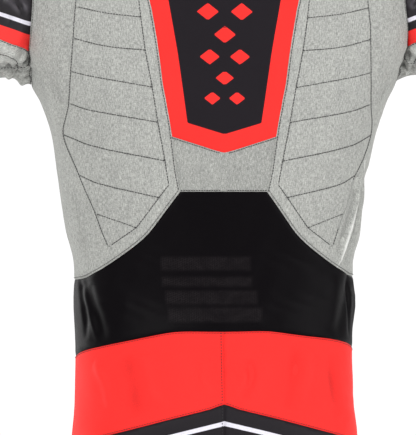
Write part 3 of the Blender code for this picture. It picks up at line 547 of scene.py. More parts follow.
def collarPoint(turn, rise):
    base = torsoPoint(turn, np.full(len(turn), form["neck"]))
    top = np.stack([base[:, 0] * collarForm["topShare"],
                    base[:, 1] * collarForm["topShare"] + collarForm["forward"],
                    base[:, 2] + form["collarHeight"]], 1)
    hollow = collarForm["hollow"] * np.sin(rise * math.pi)
    return base + (top - base) * rise[:, None] - unit(base * [1, 1, 0]) * hollow[:, None]


def collarNormal(turn, rise):
    aside = probe["collarTurn"]
    low = np.maximum(rise - probe["collarRise"], 0)
    high = np.minimum(rise + probe["collarRise"], 1)
    around = collarPoint(turn + aside, rise) - collarPoint(turn - aside, rise)
    return unit(np.cross(around, collarPoint(turn, high) - collarPoint(turn, low)))


# The three forms that the pieces are cut from. scale turns a place into metres, about.
surfaces = {
    "body": {"point": bodyPoint, "normal": bodyNormal, "scale": (form["roundTorso"], 1.0)},
    "sleeve": {"point": sleevePoint, "normal": sleeveNormal, "scale": (0.019, 0.048)},
    "collar": {"point": collarPoint, "normal": collarNormal,
               "scale": (0.225, form["collarHeight"])},
}


# Share of the way from start to end beside each point, and the distance there.
def besideLine(points, start, end):
    step = np.subtract(end, start)
    share = np.clip((points - start) @ step / max(step @ step, 1e-12), 0, 1)
    return share, np.linalg.norm(points - start - share[:, None] * step, axis=1)


# Distance from each flat place to a line of flat places.
def toSegments(places, line, closed):
    start = np.asarray(line, float)
    end = np.roll(start, -1, axis=0)
    if not closed:
        start, end = start[:-1], end[:-1]
    best = np.full(len(places), 1.0)
    for a, b in zip(start, end):
        best = np.minimum(best, besideLine(places, a, b)[1])
    return best


def insideLoop(places, loop):
    crossings = np.zeros(len(places), int)
    for (ax, ay), (bx, by) in zip(loop, np.roll(loop, -1, axis=0)):
        if ay == by:
            continue
        spans = (ay > places[:, 1]) != (by > places[:, 1])
        crossings += spans & (places[:, 0] < ax + (places[:, 1] - ay) * (bx - ax) / (by - ay))
    return crossings % 2 == 1


# The net of points inside a piece, in shares of its spacing.
net = {"firstRow": 0.3, "firstColumn": 0.2, "rowStep": 0.866, "stagger": 0.5, "rimClear": 0.5}


# Triangles inside a flat loop: the loop's own points come first.
def filled(loop, spacing):
    lowest = loop.min(0)
    highest = loop.max(0)
    rows = np.arange(lowest[1] + net["firstRow"] * spacing, highest[1], spacing * net["rowStep"])
    columns = np.arange(lowest[0] + net["firstColumn"] * spacing, highest[0] + spacing, spacing)
    grid = [(x + net["stagger"] * spacing * (i % 2), y) for i, y in enumerate(rows) for x in columns]
    grid = np.array(grid).reshape(-1, 2)
    if len(grid):
        grid = grid[insideLoop(grid, loop)]
    if len(grid):
        grid = grid[toSegments(grid, loop, True) > net["rimClear"] * spacing]
    flat = [Vector(place) for place in np.concatenate([loop, grid])]
    edges = [(i, (i + 1) % len(loop)) for i in range(len(loop))]
    result = delaunay_2d_cdt(flat, edges, [], 1, 1e-8)
    places = np.array([tuple(place) for place in result[0]])
    places[:len(loop)] = loop
    return places, np.array([tuple(face) for face in result[2]])


def sidesOf(triangles):
    return np.concatenate([triangles[:, [0, 1]], triangles[:, [1, 2]], triangles[:, [2, 0]]])


# Splits each triangle into four. rim is the order of the loop's points.
def halved(places, triangles, rim):
    edges, back = np.unique(np.sort(sidesOf(triangles), axis=1), axis=0, return_inverse=True)
    middles = (places[edges[:, 0]] + places[edges[:, 1]]) / 2
    count = len(places)
    ab, bc, ca = np.split(back.reshape(-1) + count, 3)
    a, b, c = triangles.T
    split = np.concatenate([
        np.stack([a, ab, ca], 1), np.stack([ab, b, bc], 1),
        np.stack([ca, bc, c], 1), np.stack([ab, bc, ca], 1),
    ])
    found = {tuple(edge): i + count for i, edge in enumerate(edges)}
    newRim = []
    for first, second in zip(rim, np.roll(rim, -1)):
        newRim += [first, found[(min(first, second), max(first, second))]]
    return np.concatenate([places, middles]), split, np.array(newRim)


# The large folds, the same on both sides.
def foldRise(points):
    seen = np.abs(points * [1, 0, 0]) + points * [0, 1, 1]
    total = np.zeros(len(points))
    for start, end, breadth, depth in largeFolds:
        far = besideLine(seen, start, end)[1] / breadth
        total += depth * np.exp(-far * far)
    return total


# How a crease runs: its points, how far it reaches in breadths, its fade and its uneven height.
creaseForm = {"points": 15, "reach": 3, "fade": 0.6, "uneven": 0.25, "waves": 9, "shift": 40}


# All creases as bent lines of points in space, with half breadth and depth.
def creaseRows():
    steps = np.linspace(0, 1, creaseForm["points"])
    bend = np.stack([(1 - steps) ** 2, 2 * steps * (1 - steps), steps ** 2], 1)
    rows = []

    def keep(points, row):
        middle = 2 * points[1] - (points[0] + points[2]) / 2
        rows.append((bend @ np.array([points[0], middle, points[2]]), row[6], row[7]))

    for table, front in ((backCreases, False), (frontCreases, True)):
        for row in table:
            flat = np.array(row[:6]).reshape(3, 2)
            side = math.copysign(1, flat[1, 0])
            places = np.array(onBody(np.abs(flat * [1, 0]) + flat * [0, 1], front))
            keep(torsoPoint(places[:, 0], places[:, 1]) * [side, 1, 1], row)
    for name, side in (("right", 1), ("left", -1)):
        sleeveRows = sleeveCreases[name] + sleeveCreases["both"]
        for table, point in ((legCreases[name], bodyPoint), (sleeveRows, sleevePoint)):
            for row in table:
                places = np.array(row[:6]).reshape(3, 2)
                keep(point(places[:, 0], places[:, 1]) * [side, 1, 1], row)
    return rows


allCreases = creaseRows()


# Soft ridges and troughs that fade towards their ends.
def creaseRise(points):
    total = np.zeros(len(points))
    for line, breadth, depth in allCreases:
        reach = creaseForm["reach"] * breadth
        near = ((points > line.min(0) - reach) & (points < line.max(0) + reach)).all(1)
        if not near.any():
            continue
        seen = points[near]
        best = np.full(len(seen), 9.0)
        along = np.zeros(len(seen))
        for i, (a, b) in enumerate(zip(line, line[1:])):
            share, far = besideLine(seen, a, b)
            along = np.where(far < best, (i + share) / (len(line) - 1), along)
            best = np.minimum(best, far)
        wave = np.sin(creaseForm["waves"] * along + creaseForm["shift"] * depth / breadth)
        fade = (4 * along * (1 - along)) ** creaseForm["fade"] * (1 + creaseForm["uneven"] * wave)
        total[near] += depth * fade * np.exp(-(best / breadth) ** 2)
    return total


# The suit as worn: one sleeve's stripes a little lower, one side of the waist pushed up.
# A pair gives where a region begins and over what length.
worn = {
    "sleeves": (0.185, 0.03),
    "stripesFoot": (-0.222, 0.034),
    "stripesTop": (-0.06, 0.05),
    "stripesLeft": -0.005,
    "stripesRight": 0.002,
    "underTop": (-0.175, 0.04),
    "underOut": (0.4, 0.12),
    "underFoot": (-0.33, 0.06),
    "underRight": 0.0055,
}
# Small shifts of the cloth: middle x and z, reach in x and z, and shift in x and z.
shifts = [
    (0.15, -0.492, 0.055, 0.05, 0, 0.0085),
    (0.168, -0.333, 0.032, 0.015, -0.0036, 0),
    (-0.168, -0.348, 0.032, 0.036, -0.0026, 0),
    (0.16, -0.615, 0.04, 0.05, 0.002, 0),
    (0.16, -0.058, 0.05, 0.045, 0, 0.004),
    (-0.16, -0.06, 0.05, 0.05, 0, -0.0024),
    (0.207, -0.172, 0.036, 0.036, 0.0048, 0),
]


def rising(value, key):
    start, length = worn[key]
    return smooth((value - start) / length)


def falling(value, key):
    start, length = worn[key]
    return smooth((start - value) / length)


def settled(points):
    x, y, z = points.T
    out = rising(np.abs(x), "sleeves")
    stripes = out * rising(z, "stripesFoot") * falling(z, "stripesTop")
    under = out * falling(z, "underTop") * falling(x, "underOut") * rising(z, "underFoot")
    moved = points.copy()
    moved[:, 2] += np.where(x < 0, worn["stripesLeft"], worn["stripesRight"]) * stripes
    moved[:, 2] += np.where(x > 0, worn["underRight"], 0) * under
    for middleX, middleZ, reachX, reachZ, shiftX, shiftZ in shifts:
        share = np.exp(-((x - middleX) / reachX) ** 2 - ((z - middleZ) / reachZ) ** 2)
        moved[:, 0] += shiftX * share
        moved[:, 2] += shiftZ * share
    return moved


# Where the normals of two pieces turn to one that both share, so that no slit opens between them.
mitre = {
    "armholeSteps": 360,
    "neckSteps": 121,
    "neckEnd": 0.001,
    "neckBelow": 0.003,
    "reach": 0.009,  # from the seam
    "nearest": (-0.02, -0.24),  # only points with a greater x and z are looked at
    "farthest": 0.24,  # and with a smaller x
    "middle": 0.006,  # reach from the middle plane, above the crotch
    "middleEnd": 0.0005,
    "down": 0.3,  # share by which they turn down near the crotch's point
    "downFrom": -0.66,
    "downOver": 0.06,
    "batch": 20000,
}


# Points of the armhole and the neck with the normal that both sides share there.
def seamNormals():
    turns = np.linspace(0, form["sleeveTurn"], mitre["armholeSteps"] + 1)[:-1]
    place = armholePlace(turns)
    points = bodyPoint(place[:, 0], place[:, 1])
    normals = unit(bodyNormal(place[:, 0], place[:, 1]) + sleeveNormal(turns, turns * 0))
    neck = np.linspace(mitre["neckEnd"], 1 - mitre["neckEnd"], mitre["neckSteps"])
    low = np.full(len(neck), form["neck"])
    atNeck = bodyPoint(neck, low)
    neckNormals = unit(bodyNormal(neck, low - mitre["neckBelow"]) + collarNormal(neck, neck * 0))
    return np.concatenate([points, atNeck]), np.concatenate([normals, neckNormals])


sharedPoints, sharedNormals = seamNormals()


# Normals of the right side that turn to the shared ones near the armhole and the neck, and into
# the middle plane above the crotch.
def mitredRight(points, normals):
    best = np.full(len(points), 9.0)
    nearest = np.zeros(len(points), int)
    leastX, leastZ = mitre["nearest"]
    for start in range(0, len(points), mitre["batch"]):
        part = points[start:start + mitre["batch"]]
        near = (part[:, 0] > leastX) & (part[:, 2] > leastZ) & (part[:, 0] < mitre["farthest"])
        if not near.any():
            continue
        far = ((part[near][:, None, :] - sharedPoints[None]) ** 2).sum(2)
        found = far.argmin(1)
        index = start + np.nonzero(near)[0]
        best[index] = np.sqrt(far[np.arange(len(far)), found])
        nearest[index] = found
    share = smooth(1 - best / mitre["reach"])[:, None]
    normals = unit(normals * (1 - share) + sharedNormals[nearest] * share)
    middle = smooth(1 - points[:, 0] / mitre["middle"])
    middle = middle * (points[:, 2] > form["crotchPoint"] - mitre["middleEnd"])
    down = mitre["down"] * smooth((mitre["downFrom"] - points[:, 2]) / mitre["downOver"]) * middle
    return unit(normals * (1 - middle[:, None] * [1, 0, 0]) - down[:, None] * [0, 0, 1])


def mitred(points, normals):
    half = np.where(points[:, 0] < 0, -1.0, 1.0)[:, None] ** [1, 0, 0]
    return mitredRight(points * half, normals * half) * half


# The line's second value where its first value is key. The line goes on straight past its ends.
def lineAt(line, key, first, second):
    line = sorted((row[first], row[second]) for row in line)
    firsts = [row[0] for row in line]
    seconds = [row[1] for row in line]
    slopeLow = (seconds[1] - seconds[0]) / (firsts[1] - firsts[0])
    slopeHigh = (seconds[-1] - seconds[-2]) / (firsts[-1] - firsts[-2])
    value = np.interp(key, firsts, seconds)
    value = value + np.where(key < firsts[0], (key - firsts[0]) * slopeLow, 0)
    return value + np.where(key > firsts[-1], (key - firsts[-1]) * slopeHigh, 0)


# Rise of the quilted channels of the side backs.
def quiltPuff(points):
    x = np.abs(points[:, 0])
    z = points[:, 2]
    side = np.minimum(x - lineAt(quiltInner, z, 1, 0), lineAt(quiltOuter, z, 1, 0) - x)
    rise = np.zeros(len(points))
    for upper, lower in zip(quiltLines, quiltLines[1:]):
        top = lineAt(upper, x, 0, 1)
        foot = lineAt(lower, x, 0, 1)
        part = np.clip((top - z) / np.maximum(top - foot, 1e-4), 0, 1)
        rise = np.maximum(rise, np.sin(math.pi * part) ** quilting["roundness"])
    inside = (points[:, 1] < 0) & (z < quilting["top"]) & (z > quilting["foot"]) & (side > 0)
    fade = np.clip(side / quilting["sideFade"], 0, 1) ** quilting["sidePower"]
    return np.where(inside, quilting["rise"] * rise * fade, 0)


# Slow, uneven waves of worn cloth: height, wave along x and z, and a twist along x, y and z.
ripples = [
    (0.00045, (61, 23), 3, (0, 9, 31)),
    (0.00035, (-37, 83), 4, (43, -17, 0)),
    (0.00012, (210, 150), 3, (0, 0, 120)),
]


def ripple(points):
    total = np.zeros(len(points))
    for height, (alongX, alongZ), twist, turned in ripples:
        total += height * np.sin(points @ (alongX, 0, alongZ) + twist * np.sin(points @ turned))
    return total


# How far the cloth's outer face stands off its plain form, how far the seam is, and the creases.
def relief(piece, places, points):
    scale = surfaces[piece["surface"]]["scale"]
    away = toSegments(places * scale, piece["loop"] * scale, True)
    bend = foldRise(points) + creaseRise(points)
    total = bend + ripple(points) * np.clip(away / wall["rippleFade"], 0, 1)
    total -= wall["seamDip"] * np.exp(-(away / wall["seamBreadth"]) ** 2)
    if piece.get("quilted"):
        total += quiltPuff(points)
    return total, away, bend


# Points and normals of places on a piece's outer face.
def onCloth(piece, places, lift=0.0):
    places = np.asarray(places, float)
    side = [-1 if piece.get("flipped") else 1, 1, 1]
    surface = surfaces[piece["surface"]]
    points = surface["point"](places[:, 0], places[:, 1])
    normals = mitred(points, surface["normal"](places[:, 0], places[:, 1])) * side
    points = points * side
    rise, away, bend = relief(piece, places, points)
    return settled(points + normals * (rise + lift)[:, None]), normals, away, bend


def addMesh(name, points, faces, cloth):
    mesh = bpy.data.meshes.new(name)
    mesh.from_pydata([tuple(point) for point in points], [], [tuple(map(int, face)) for face in faces])
    mesh.polygons.foreach_set("use_smooth", [True] * len(mesh.polygons))
    made = bpy.data.objects.new(name, mesh)
    bpy.context.scene.collection.objects.link(made)
    made.data.materials.append(cloth)
    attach(made, "root")
    return made


# Lengths round and along a form, from its first turn and its first height.
def girthTable(point, turns, heights):
    rings = np.array([point(turns, np.full(len(turns), height)) for height in heights])
    around = np.cumsum(np.linalg.norm(np.diff(rings, axis=1), axis=2), axis=1)
    along = np.cumsum(np.linalg.norm(np.diff(rings, axis=0), axis=2), axis=0)
    return {"turns": turns, "heights": heights, "around": np.pad(around, ((0, 0), (1, 0))),
            "along": np.pad(along, ((1, 0), (0, 0)))}


girths = {
    "body": girthTable(bodyPoint, np.linspace(0, 1, 161), np.linspace(-1.53, -0.015, 150)),
    "sleeve": girthTable(sleevePoint, np.linspace(0, 24, 161), np.linspace(0, 12, 49)),
    "collar": girthTable(collarPoint, np.linspace(0, 1, 121), np.linspace(0, 1, 3)),
}


# Places in metres along and up the cloth, so that the weave has one size all over.
def weavePlaces(surface, places):
    girth = girths[surface]
    turns, heights, around = girth["turns"], girth["heights"], girth["around"]
    turn = places[:, 0]
    whole = turns[-1]
    over = turn > whole
    seen = np.where(over, 2 * whole - turn, np.abs(turn))
    if surface == "sleeve":
        seen = np.mod(turn, whole)
    column = np.clip(seen / whole * (len(turns) - 1), 0, len(turns) - 1.001)
    row = (places[:, 1] - heights[0]) / (heights[-1] - heights[0]) * (len(heights) - 1)
    row = np.clip(row, 0, len(heights) - 1.001)
    i, j = row.astype(int), column.astype(int)
    a, b = row - i, column - j
    value, along = [
        rows[i, j] * (1 - a) * (1 - b) + rows[i, j + 1] * (1 - a) * b
        + rows[i + 1, j] * a * (1 - b) + rows[i + 1, j + 1] * a * b
        for rows in (around, girth["along"])
    ]
    full = around[i, -1] * (1 - a) + around[i + 1, -1] * a
    if surface == "sleeve":
        value = value + full * np.floor(turn / whole)
    else:
        value = np.where(over, 2 * full - value, value * np.where(turn < 0, -1.0, 1.0))
    return np.stack([value, along], 1)


# The weave's places, the marks for the cloth's colours and the solid that it replaces, which is hidden.
def dressed(made, name, surface, places, marks):
    index = np.zeros(len(made.data.loops), np.int32)
    made.data.loops.foreach_get("vertex_index", index)
    layer = made.data.uv_layers.new(name="cloth")
    layer.data.foreach_set("uv", weavePlaces(surface, places)[index].astype(np.float32).ravel())
    for mark, values in marks.items():
        kept = made.data.attributes.new(mark, "FLOAT", "POINT")
        kept.data.foreach_set("value", np.asarray(values, np.float32))
    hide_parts(name)


# Triangles turned over where they don't face along the normals.
def facing(points, triangles, normals):
    a, b, c = [points[corner] for corner in triangles.T]
    ahead = (np.cross(b - a, c - a) * normals[triangles[:, 0]]).sum(1) > 0
    return np.where(ahead[:, None], triangles, triangles[:, ::-1])


# Directions from the rim into the piece, along its face.
def intoPiece(points, normals, rim, triangles):
    ahead = np.roll(points[rim], -1, axis=0) - np.roll(points[rim], 1, axis=0)
    inward = unit(np.cross(normals[rim], ahead))
    edge = set(map(int, rim[:2]))
    beside = next(triangle for triangle in triangles if edge <= set(map(int, triangle)))
    apex = next(i for i in beside if int(i) not in edge)
    return inward if (points[apex] - points[rim[0]]) @ inward[0] >= 0 else -inward


# A cut piece as a thin closed shell in place of its solid.
def sewPiece(piece, cloth, marks):
    surface = surfaces[piece["surface"]]
    scale = np.array(surface["scale"])
    piece["loop"] = np.array(piece["loop"], float)
    places, triangles = filled(piece["loop"] * scale, piece["spacing"])
    rim = np.arange(len(piece["loop"]))
    for _ in range(piece["splits"]):
        places, triangles, rim = halved(places, triangles, rim)
    under, underTriangles = filled(places[rim], piece["spacing"] * wall["innerSpacing"])
    outer, outerNormals, away, bend = onCloth(piece, places / scale)
    inner, innerNormals, _, _ = onCloth(piece, under / scale)
    inner = inner - innerNormals * wall["thickness"]
    triangles = facing(outer, triangles, outerNormals)
    underTriangles = facing(inner, underTriangles, -innerNormals)
    inward = intoPiece(outer, outerNormals, rim, triangles)
    outer[rim] += inward * wall["seamShare"]
    inner[:len(rim)] += inward * wall["seamShare"]
    count = len(outer)
    faces = list(map(tuple, triangles)) + list(map(tuple, underTriangles + count))
    edges = set(map(tuple, sidesOf(triangles).tolist()))
    for i, (a, b) in enumerate(zip(map(int, rim), map(int, np.roll(rim, -1)))):
        j = (i + 1) % len(rim)
        if (a, b) in edges:
            faces.append((b, a, count + i, count + j))
        else:
            faces.append((a, b, count + j, count + i))
    made = addMesh(piece["name"] + "_cloth", np.concatenate([outer, inner]), faces, cloth)
    allPlaces = np.concatenate([places, under])
    plain = surface["point"](*(allPlaces / scale).T)
    plain[:, 0] *= -1 if piece.get("flipped") else 1
    inside = np.zeros(len(under))
    values = {
        # distance to the seam, which the grey cloth uses for a painted highlight at its edges
        "seam": np.concatenate([away, inside]),
        "reverse": np.concatenate([np.zeros(count), inside + 1]),
        # the crease height, which the materials use for painted shade and painted highlight
        "bend": np.concatenate([bend, inside]),
    }
    values.update((name, measure(plain, allPlaces)) for name, measure in marks.items())
    dressed(made, piece["name"], piece["surface"], allPlaces / scale, values)
    print("piece", piece["name"], len(made.data.polygons), "faces")
    return made


# Materials


def newMaterial(name):
    made = bpy.data.materials.new(name)
    made.use_nodes = True
    return made, made.node_tree, made.node_tree.nodes["Principled BSDF"]


def addNode(tree, kind, **values):
    made = tree.nodes.new(kind)
    for key, value in values.items():
        setattr(made, key, value)
    return made


# Links an input to its source, or sets it to a number or a colour.
def feed(tree, node, inputs):
    for key, value in inputs.items():
        if isinstance(value, bpy.types.NodeSocket):
            tree.links.new(value, node.inputs[key])
        elif node.inputs[key].type == "RGBA":
            node.inputs[key].default_value = (*value, 1)
        else:
            node.inputs[key].default_value = value


# The cloth's own place in metres, scaled across and along the grain.
def stretched(tree, across, along):
    place = addNode(tree, "ShaderNodeUVMap", uv_map="cloth")
    scale = addNode(tree, "ShaderNodeMapping")
    feed(tree, scale, {"Scale": (across, along, 1), "Vector": place.outputs["UV"]})
    return scale.outputs["Vector"]


def noise(tree, vector, detail=2.0, rough=0.5, scale=1.0):
    made = addNode(tree, "ShaderNodeTexNoise")
    feed(tree, made, {"Scale": scale, "Detail": detail, "Roughness": rough, "Vector": vector})
    return made.outputs["Fac"]


# A stop is a position and a colour, or one number for a plain grey.
def ramp(tree, value, *stops):
    made = addNode(tree, "ShaderNodeValToRGB")
    elements = made.color_ramp.elements
    while len(elements) < len(stops):
        elements.new(0.5)
    for element, (position, colour) in zip(elements, stops):
        element.position = position
        element.color = (*colour, 1) if isinstance(colour, tuple) else (colour, colour, colour, 1)
    feed(tree, made, {"Fac": value})
    return made.outputs["Color"]


def mixed(tree, first, second, factor, mode="MIX"):
    made = addNode(tree, "ShaderNodeMix", data_type="RGBA", blend_type=mode)
    feed(tree, made, {0: factor, 6: first, 7: second})  # the factor and the two colours
    return made.outputs[2]


# The base colour, darkened and lightened by a ramp over a value.
def shaded(tree, base, value, share, *stops):
    return mixed(tree, base, ramp(tree, value, *stops), share, "MULTIPLY")


def calculated(tree, operation, first, second=0.0, clamp=False):
    made = addNode(tree, "ShaderNodeMath", operation=operation, use_clamp=clamp)
    feed(tree, made, {0: first, 1: second})
    return made.outputs[0]


def bumped(tree, shader, height, strength, distance=0.0004):
    made = addNode(tree, "ShaderNodeBump")
    feed(tree, made, {"Strength": strength, "Distance": distance, "Height": height})
    feed(tree, shader, {"Normal": made.outputs["Normal"]})


def attribute(tree, name):
    return addNode(tree, "ShaderNodeAttribute", attribute_name=name).outputs["Fac"]


# An attribute as a share of a reach in metres.
def shareOf(tree, name, reach):
    return calculated(tree, "DIVIDE", attribute(tree, name), reach, clamp=True)


# 1 where a distance is above 0 and 0 below, with a soft edge of thread width.
def edged(tree, value, softness=0.0005):
    return calculated(tree, "ADD", calculated(tree, "DIVIDE", value, softness), 0.5, clamp=True)


# 1 between two values of a distance.
def between(tree, value, low, high):
    above = edged(tree, calculated(tree, "SUBTRACT", value, low))
    below = edged(tree, calculated(tree, "SUBTRACT", high, value))
    return calculated(tree, "MULTIPLY", above, below)


# Painted shade in the troughs and painted highlight on the crests of the creases: the cloth's colour is
# darkened and lightened by the crease height.
def creaseShadeAndHighlight(tree, base, troughShade, crest, reach=0.0095):
    bend = calculated(tree, "DIVIDE", attribute(tree, "bend"), reach)
    share = calculated(tree, "ADD", bend, 0.5, clamp=True)
    return shaded(tree, base, share, 1.0, (0.0, troughShade), (0.5, 1.0), (1.0, crest))


# Scales of the grey cloth's weave across and along the grain, its fibres and its finish.
melange = {
    "slub": (1080, 230),
    "speck": (1700, 1400),
    "cross": (250, 1200),
    "streak": (300, 34),
    "patch": (40, 26),
    "fibres": [(0.3, (0.232, 0.237, 0.225)), (0.47, (0.345, 0.35, 0.331)), (0.66, (0.49, 0.495, 0.469))],
    # painted shade in the quilting's grooves
    "grooveShade": (0.42, 0.42, 0.42),
    "grooveReach": 0.0011,
    # pale colour painted along the long waist fold's crest, a painted highlight
    "crest": (0.8, 0.8, 0.78),
    "crestHighlightReach": 0.0011,
    # painted highlight along the seams' edges
    "seamEdgeHighlight": (1.2, 1.2, 1.2),
    "seamReach": 0.0014,
    # painted shade in the creases' troughs and painted highlight on their crests
    "troughShade": 0.5,
    "ridgeHighlight": 1.22,
    "finish": {"Roughness": 0.88, "Specular IOR Level": 0.2, "Sheen Weight": 0.06, "Sheen Roughness": 0.6},
    "bump": 0.35,
}


# Grey knitted cloth of pale and dark fibres, with short slubs along the grain.
def greyMelange(name, quilted, strength=0.96):
    made, tree, shader = newMaterial(name)
    slub = noise(tree, stretched(tree, *melange["slub"]), 3.0, 0.62)
    speck = noise(tree, stretched(tree, *melange["speck"]), 2.0, 0.6)
    cross = noise(tree, stretched(tree, *melange["cross"]), 2.0, 0.55)
    streak = noise(tree, stretched(tree, *melange["streak"]), 2.0, 0.6)
    patch = noise(tree, stretched(tree, *melange["patch"]), 3.0, 0.55)
    base = ramp(tree, slub, *melange["fibres"])
    base = mixed(tree, base, (strength,) * 3, 1.0, "MULTIPLY")
    base = shaded(tree, base, speck, 0.85, (0.3, 0.5), (0.46, 0.95), (0.7, 1.22))
    base = shaded(tree, base, cross, 0.7, (0.36, 0.78), (0.62, 1.14))
    base = shaded(tree, base, streak, 1.0, (0.36, 0.93), (0.64, (1.06, 1.06, 1.055)))
    base = shaded(tree, base, patch, 0.8, (0.3, 0.94), (0.7, (1.04, 1.04, 1.035)))
    if quilted:
        # Painted shade in the grooves along the quilting lines.
        quilt = shareOf(tree, "quilt", melange["grooveReach"])
        grooveShade = mixed(tree, melange["grooveShade"], (1, 1, 1), quilt)
        base = mixed(tree, base, grooveShade, 0.8, "MULTIPLY")
        # Painted highlight along the crest of the long fold beside the right waist, broken up by the
        # patches.
        crest = calculated(tree, "ABSOLUTE", attribute(tree, "crest"))
        crest = calculated(tree, "DIVIDE", crest, melange["crestHighlightReach"], clamp=True)
        pale = calculated(tree, "MULTIPLY", calculated(tree, "SUBTRACT", 1.0, crest),
                          calculated(tree, "MULTIPLY", patch, 1.1))
        base = mixed(tree, base, melange["crest"], pale)
    # Painted shade and painted highlight on the creases.
    base = creaseShadeAndHighlight(tree, base, melange["troughShade"], melange["ridgeHighlight"])
    # Painted highlight: the grey turns paler close to each seam, along the pieces' folded edges.
    edge = mixed(tree, melange["seamEdgeHighlight"], (1, 1, 1), shareOf(tree, "seam", melange["seamReach"]))
    base = mixed(tree, base, edge, 0.8, "MULTIPLY")
    feed(tree, shader, {"Base Color": base, **melange["finish"]})
    bumped(tree, shader, calculated(tree, "ADD", slub, speck), melange["bump"])
    return made


# Scales and turn of the woven cloths' threads and ribs.
weave = {
    "warp": (1300, 380),
    "weft": (380, 1300),
    "patch": (18, 14),
    "ribs": 330,
    "ribTurn": math.radians(38),
    "ribUneven": 1.2,
    "ribHeight": 0.4,
    # painted shade in the creases' troughs and painted highlight on their crests
    "troughShade": 0.72,
    "ridgeHighlight": 1.1,
    "sheenRough": 0.45,
    "bump": 0.3,
}


# Fine diagonal ribs of a twill.
def twill(tree):
    place = addNode(tree, "ShaderNodeUVMap", uv_map="cloth")
    turned = addNode(tree, "ShaderNodeMapping")
    feed(tree, turned, {"Rotation": (0, 0, weave["ribTurn"]), "Vector": place.outputs["UV"]})
    wave = addNode(tree, "ShaderNodeTexWave", wave_type="BANDS", bands_direction="X")
    feed(tree, wave, {"Scale": weave["ribs"], "Distortion": weave["ribUneven"], "Detail": 1.0,
                      "Vector": turned.outputs["Vector"]})
    return wave.outputs["Fac"]


# A woven cloth of one colour, with an optional printed pattern or band of holes.
def plainWeave(name, colour, rough, shine, sheen, band=None, printed=None):
    made, tree, shader = newMaterial(name)
    warp = noise(tree, stretched(tree, *weave["warp"]), 2.0, 0.6)
    weft = noise(tree, stretched(tree, *weave["weft"]), 2.0, 0.6)
    patch = noise(tree, stretched(tree, *weave["patch"]), 3.0, 0.5)
    ribs = twill(tree)
    half = calculated(tree, "MULTIPLY", calculated(tree, "ADD", warp, weft), 0.5)
    base = colour
    if printed:
        base = mixed(tree, printed(tree), colour, attribute(tree, "reverse"))
    base = shaded(tree, base, half, 0.8, (0.35, 0.86), (0.65, 1.08))
    base = shaded(tree, base, ribs, 0.8, (0.1, 0.93), (0.7, 1.03))
    base = shaded(tree, base, patch, 0.8, (0.3, 0.95), (0.7, 1.04))
    # Painted shade and painted highlight on the creases.
    base = creaseShadeAndHighlight(tree, base, weave["troughShade"], weave["ridgeHighlight"])
    height = calculated(tree, "ADD", half, calculated(tree, "MULTIPLY", ribs, weave["ribHeight"]))
    if band:
        base, height = band(tree, base, height)
    feed(tree, shader, {"Base Color": base, "Roughness": rough, "Specular IOR Level": shine,
                        "Sheen Weight": sheen, "Sheen Roughness": weave["sheenRough"]})
    bumped(tree, shader, height, weave["bump"])
    return made


paint = {
    "red": (0.92, 0.029, 0.025),
    "black": (0.0105, 0.008, 0.011),
    "deepBlack": (0.0016, 0.0009, 0.0017),
    "holeBlack": (0.0016, 0.001, 0.0016),
    "meshBlack": (0.013, 0.0105, 0.012),
    # painted highlight: the caps' black where their creases crest
    "creaseHighlightBlack": (0.06, 0.054, 0.064),
    "white": (0.74, 0.72, 0.8),
}
# Heights of the sleeve's stripes above their lower edge, and of the leg's stripe below the seat, and the
# crease height at which the caps' painted highlight is full.
stripes = {"capRed": 0.0162, "capWhite": (0.0258, 0.0303), "capHighlightReach": 0.0032, "legWhite": (0.016, 0.0206)}
meshLook = {"softness": 0.004, "holes": 520, "worn": (60, 90)}


# Faint bands of fine holes over the small of the back.
def meshBands(tree, base, height):
    inBand = edged(tree, attribute(tree, "band"), meshLook["softness"])
    fade = noise(tree, stretched(tree, *meshLook["worn"]), 2.0, 0.6)
    inBand = calculated(tree, "MULTIPLY", inBand, ramp(tree, fade, (0.4, 0.6), (0.6, 1.0)))
    holes = addNode(tree, "ShaderNodeTexVoronoi", feature="F1")
    place = stretched(tree, meshLook["holes"], meshLook["holes"])
    feed(tree, holes, {"Scale": 1.0, "Randomness": 0.2, "Vector": place})
    dots = ramp(tree, holes.outputs["Distance"], (0.22, 0.0), (0.55, 1.0))
    lighter = mixed(tree, paint["holeBlack"], paint["meshBlack"], dots)
    base = mixed(tree, base, lighter, inBand)
    return base, calculated(tree, "ADD", height, calculated(tree, "MULTIPLY", dots, inBand))


def backPrint(tree):
    border = edged(tree, attribute(tree, "border"))
    red = calculated(tree, "MAXIMUM", border, edged(tree, attribute(tree, "lozenge")))
    return mixed(tree, paint["black"], paint["red"], red)


def capPrint(tree):
    height = attribute(tree, "height")
    red = edged(tree, calculated(tree, "SUBTRACT", stripes["capRed"], height))
    # Painted highlight: the black of the caps turns paler on the crests of their creases.
    black = mixed(tree, paint["black"], paint["creaseHighlightBlack"], shareOf(tree, "bend", stripes["capHighlightReach"]))
    base = mixed(tree, black, paint["red"], red)
    return mixed(tree, base, paint["white"], between(tree, height, *stripes["capWhite"]))


def legPrint(tree):
    white = between(tree, attribute(tree, "chevron"), *stripes["legWhite"])
    return mixed(tree, paint["black"], paint["white"], white)


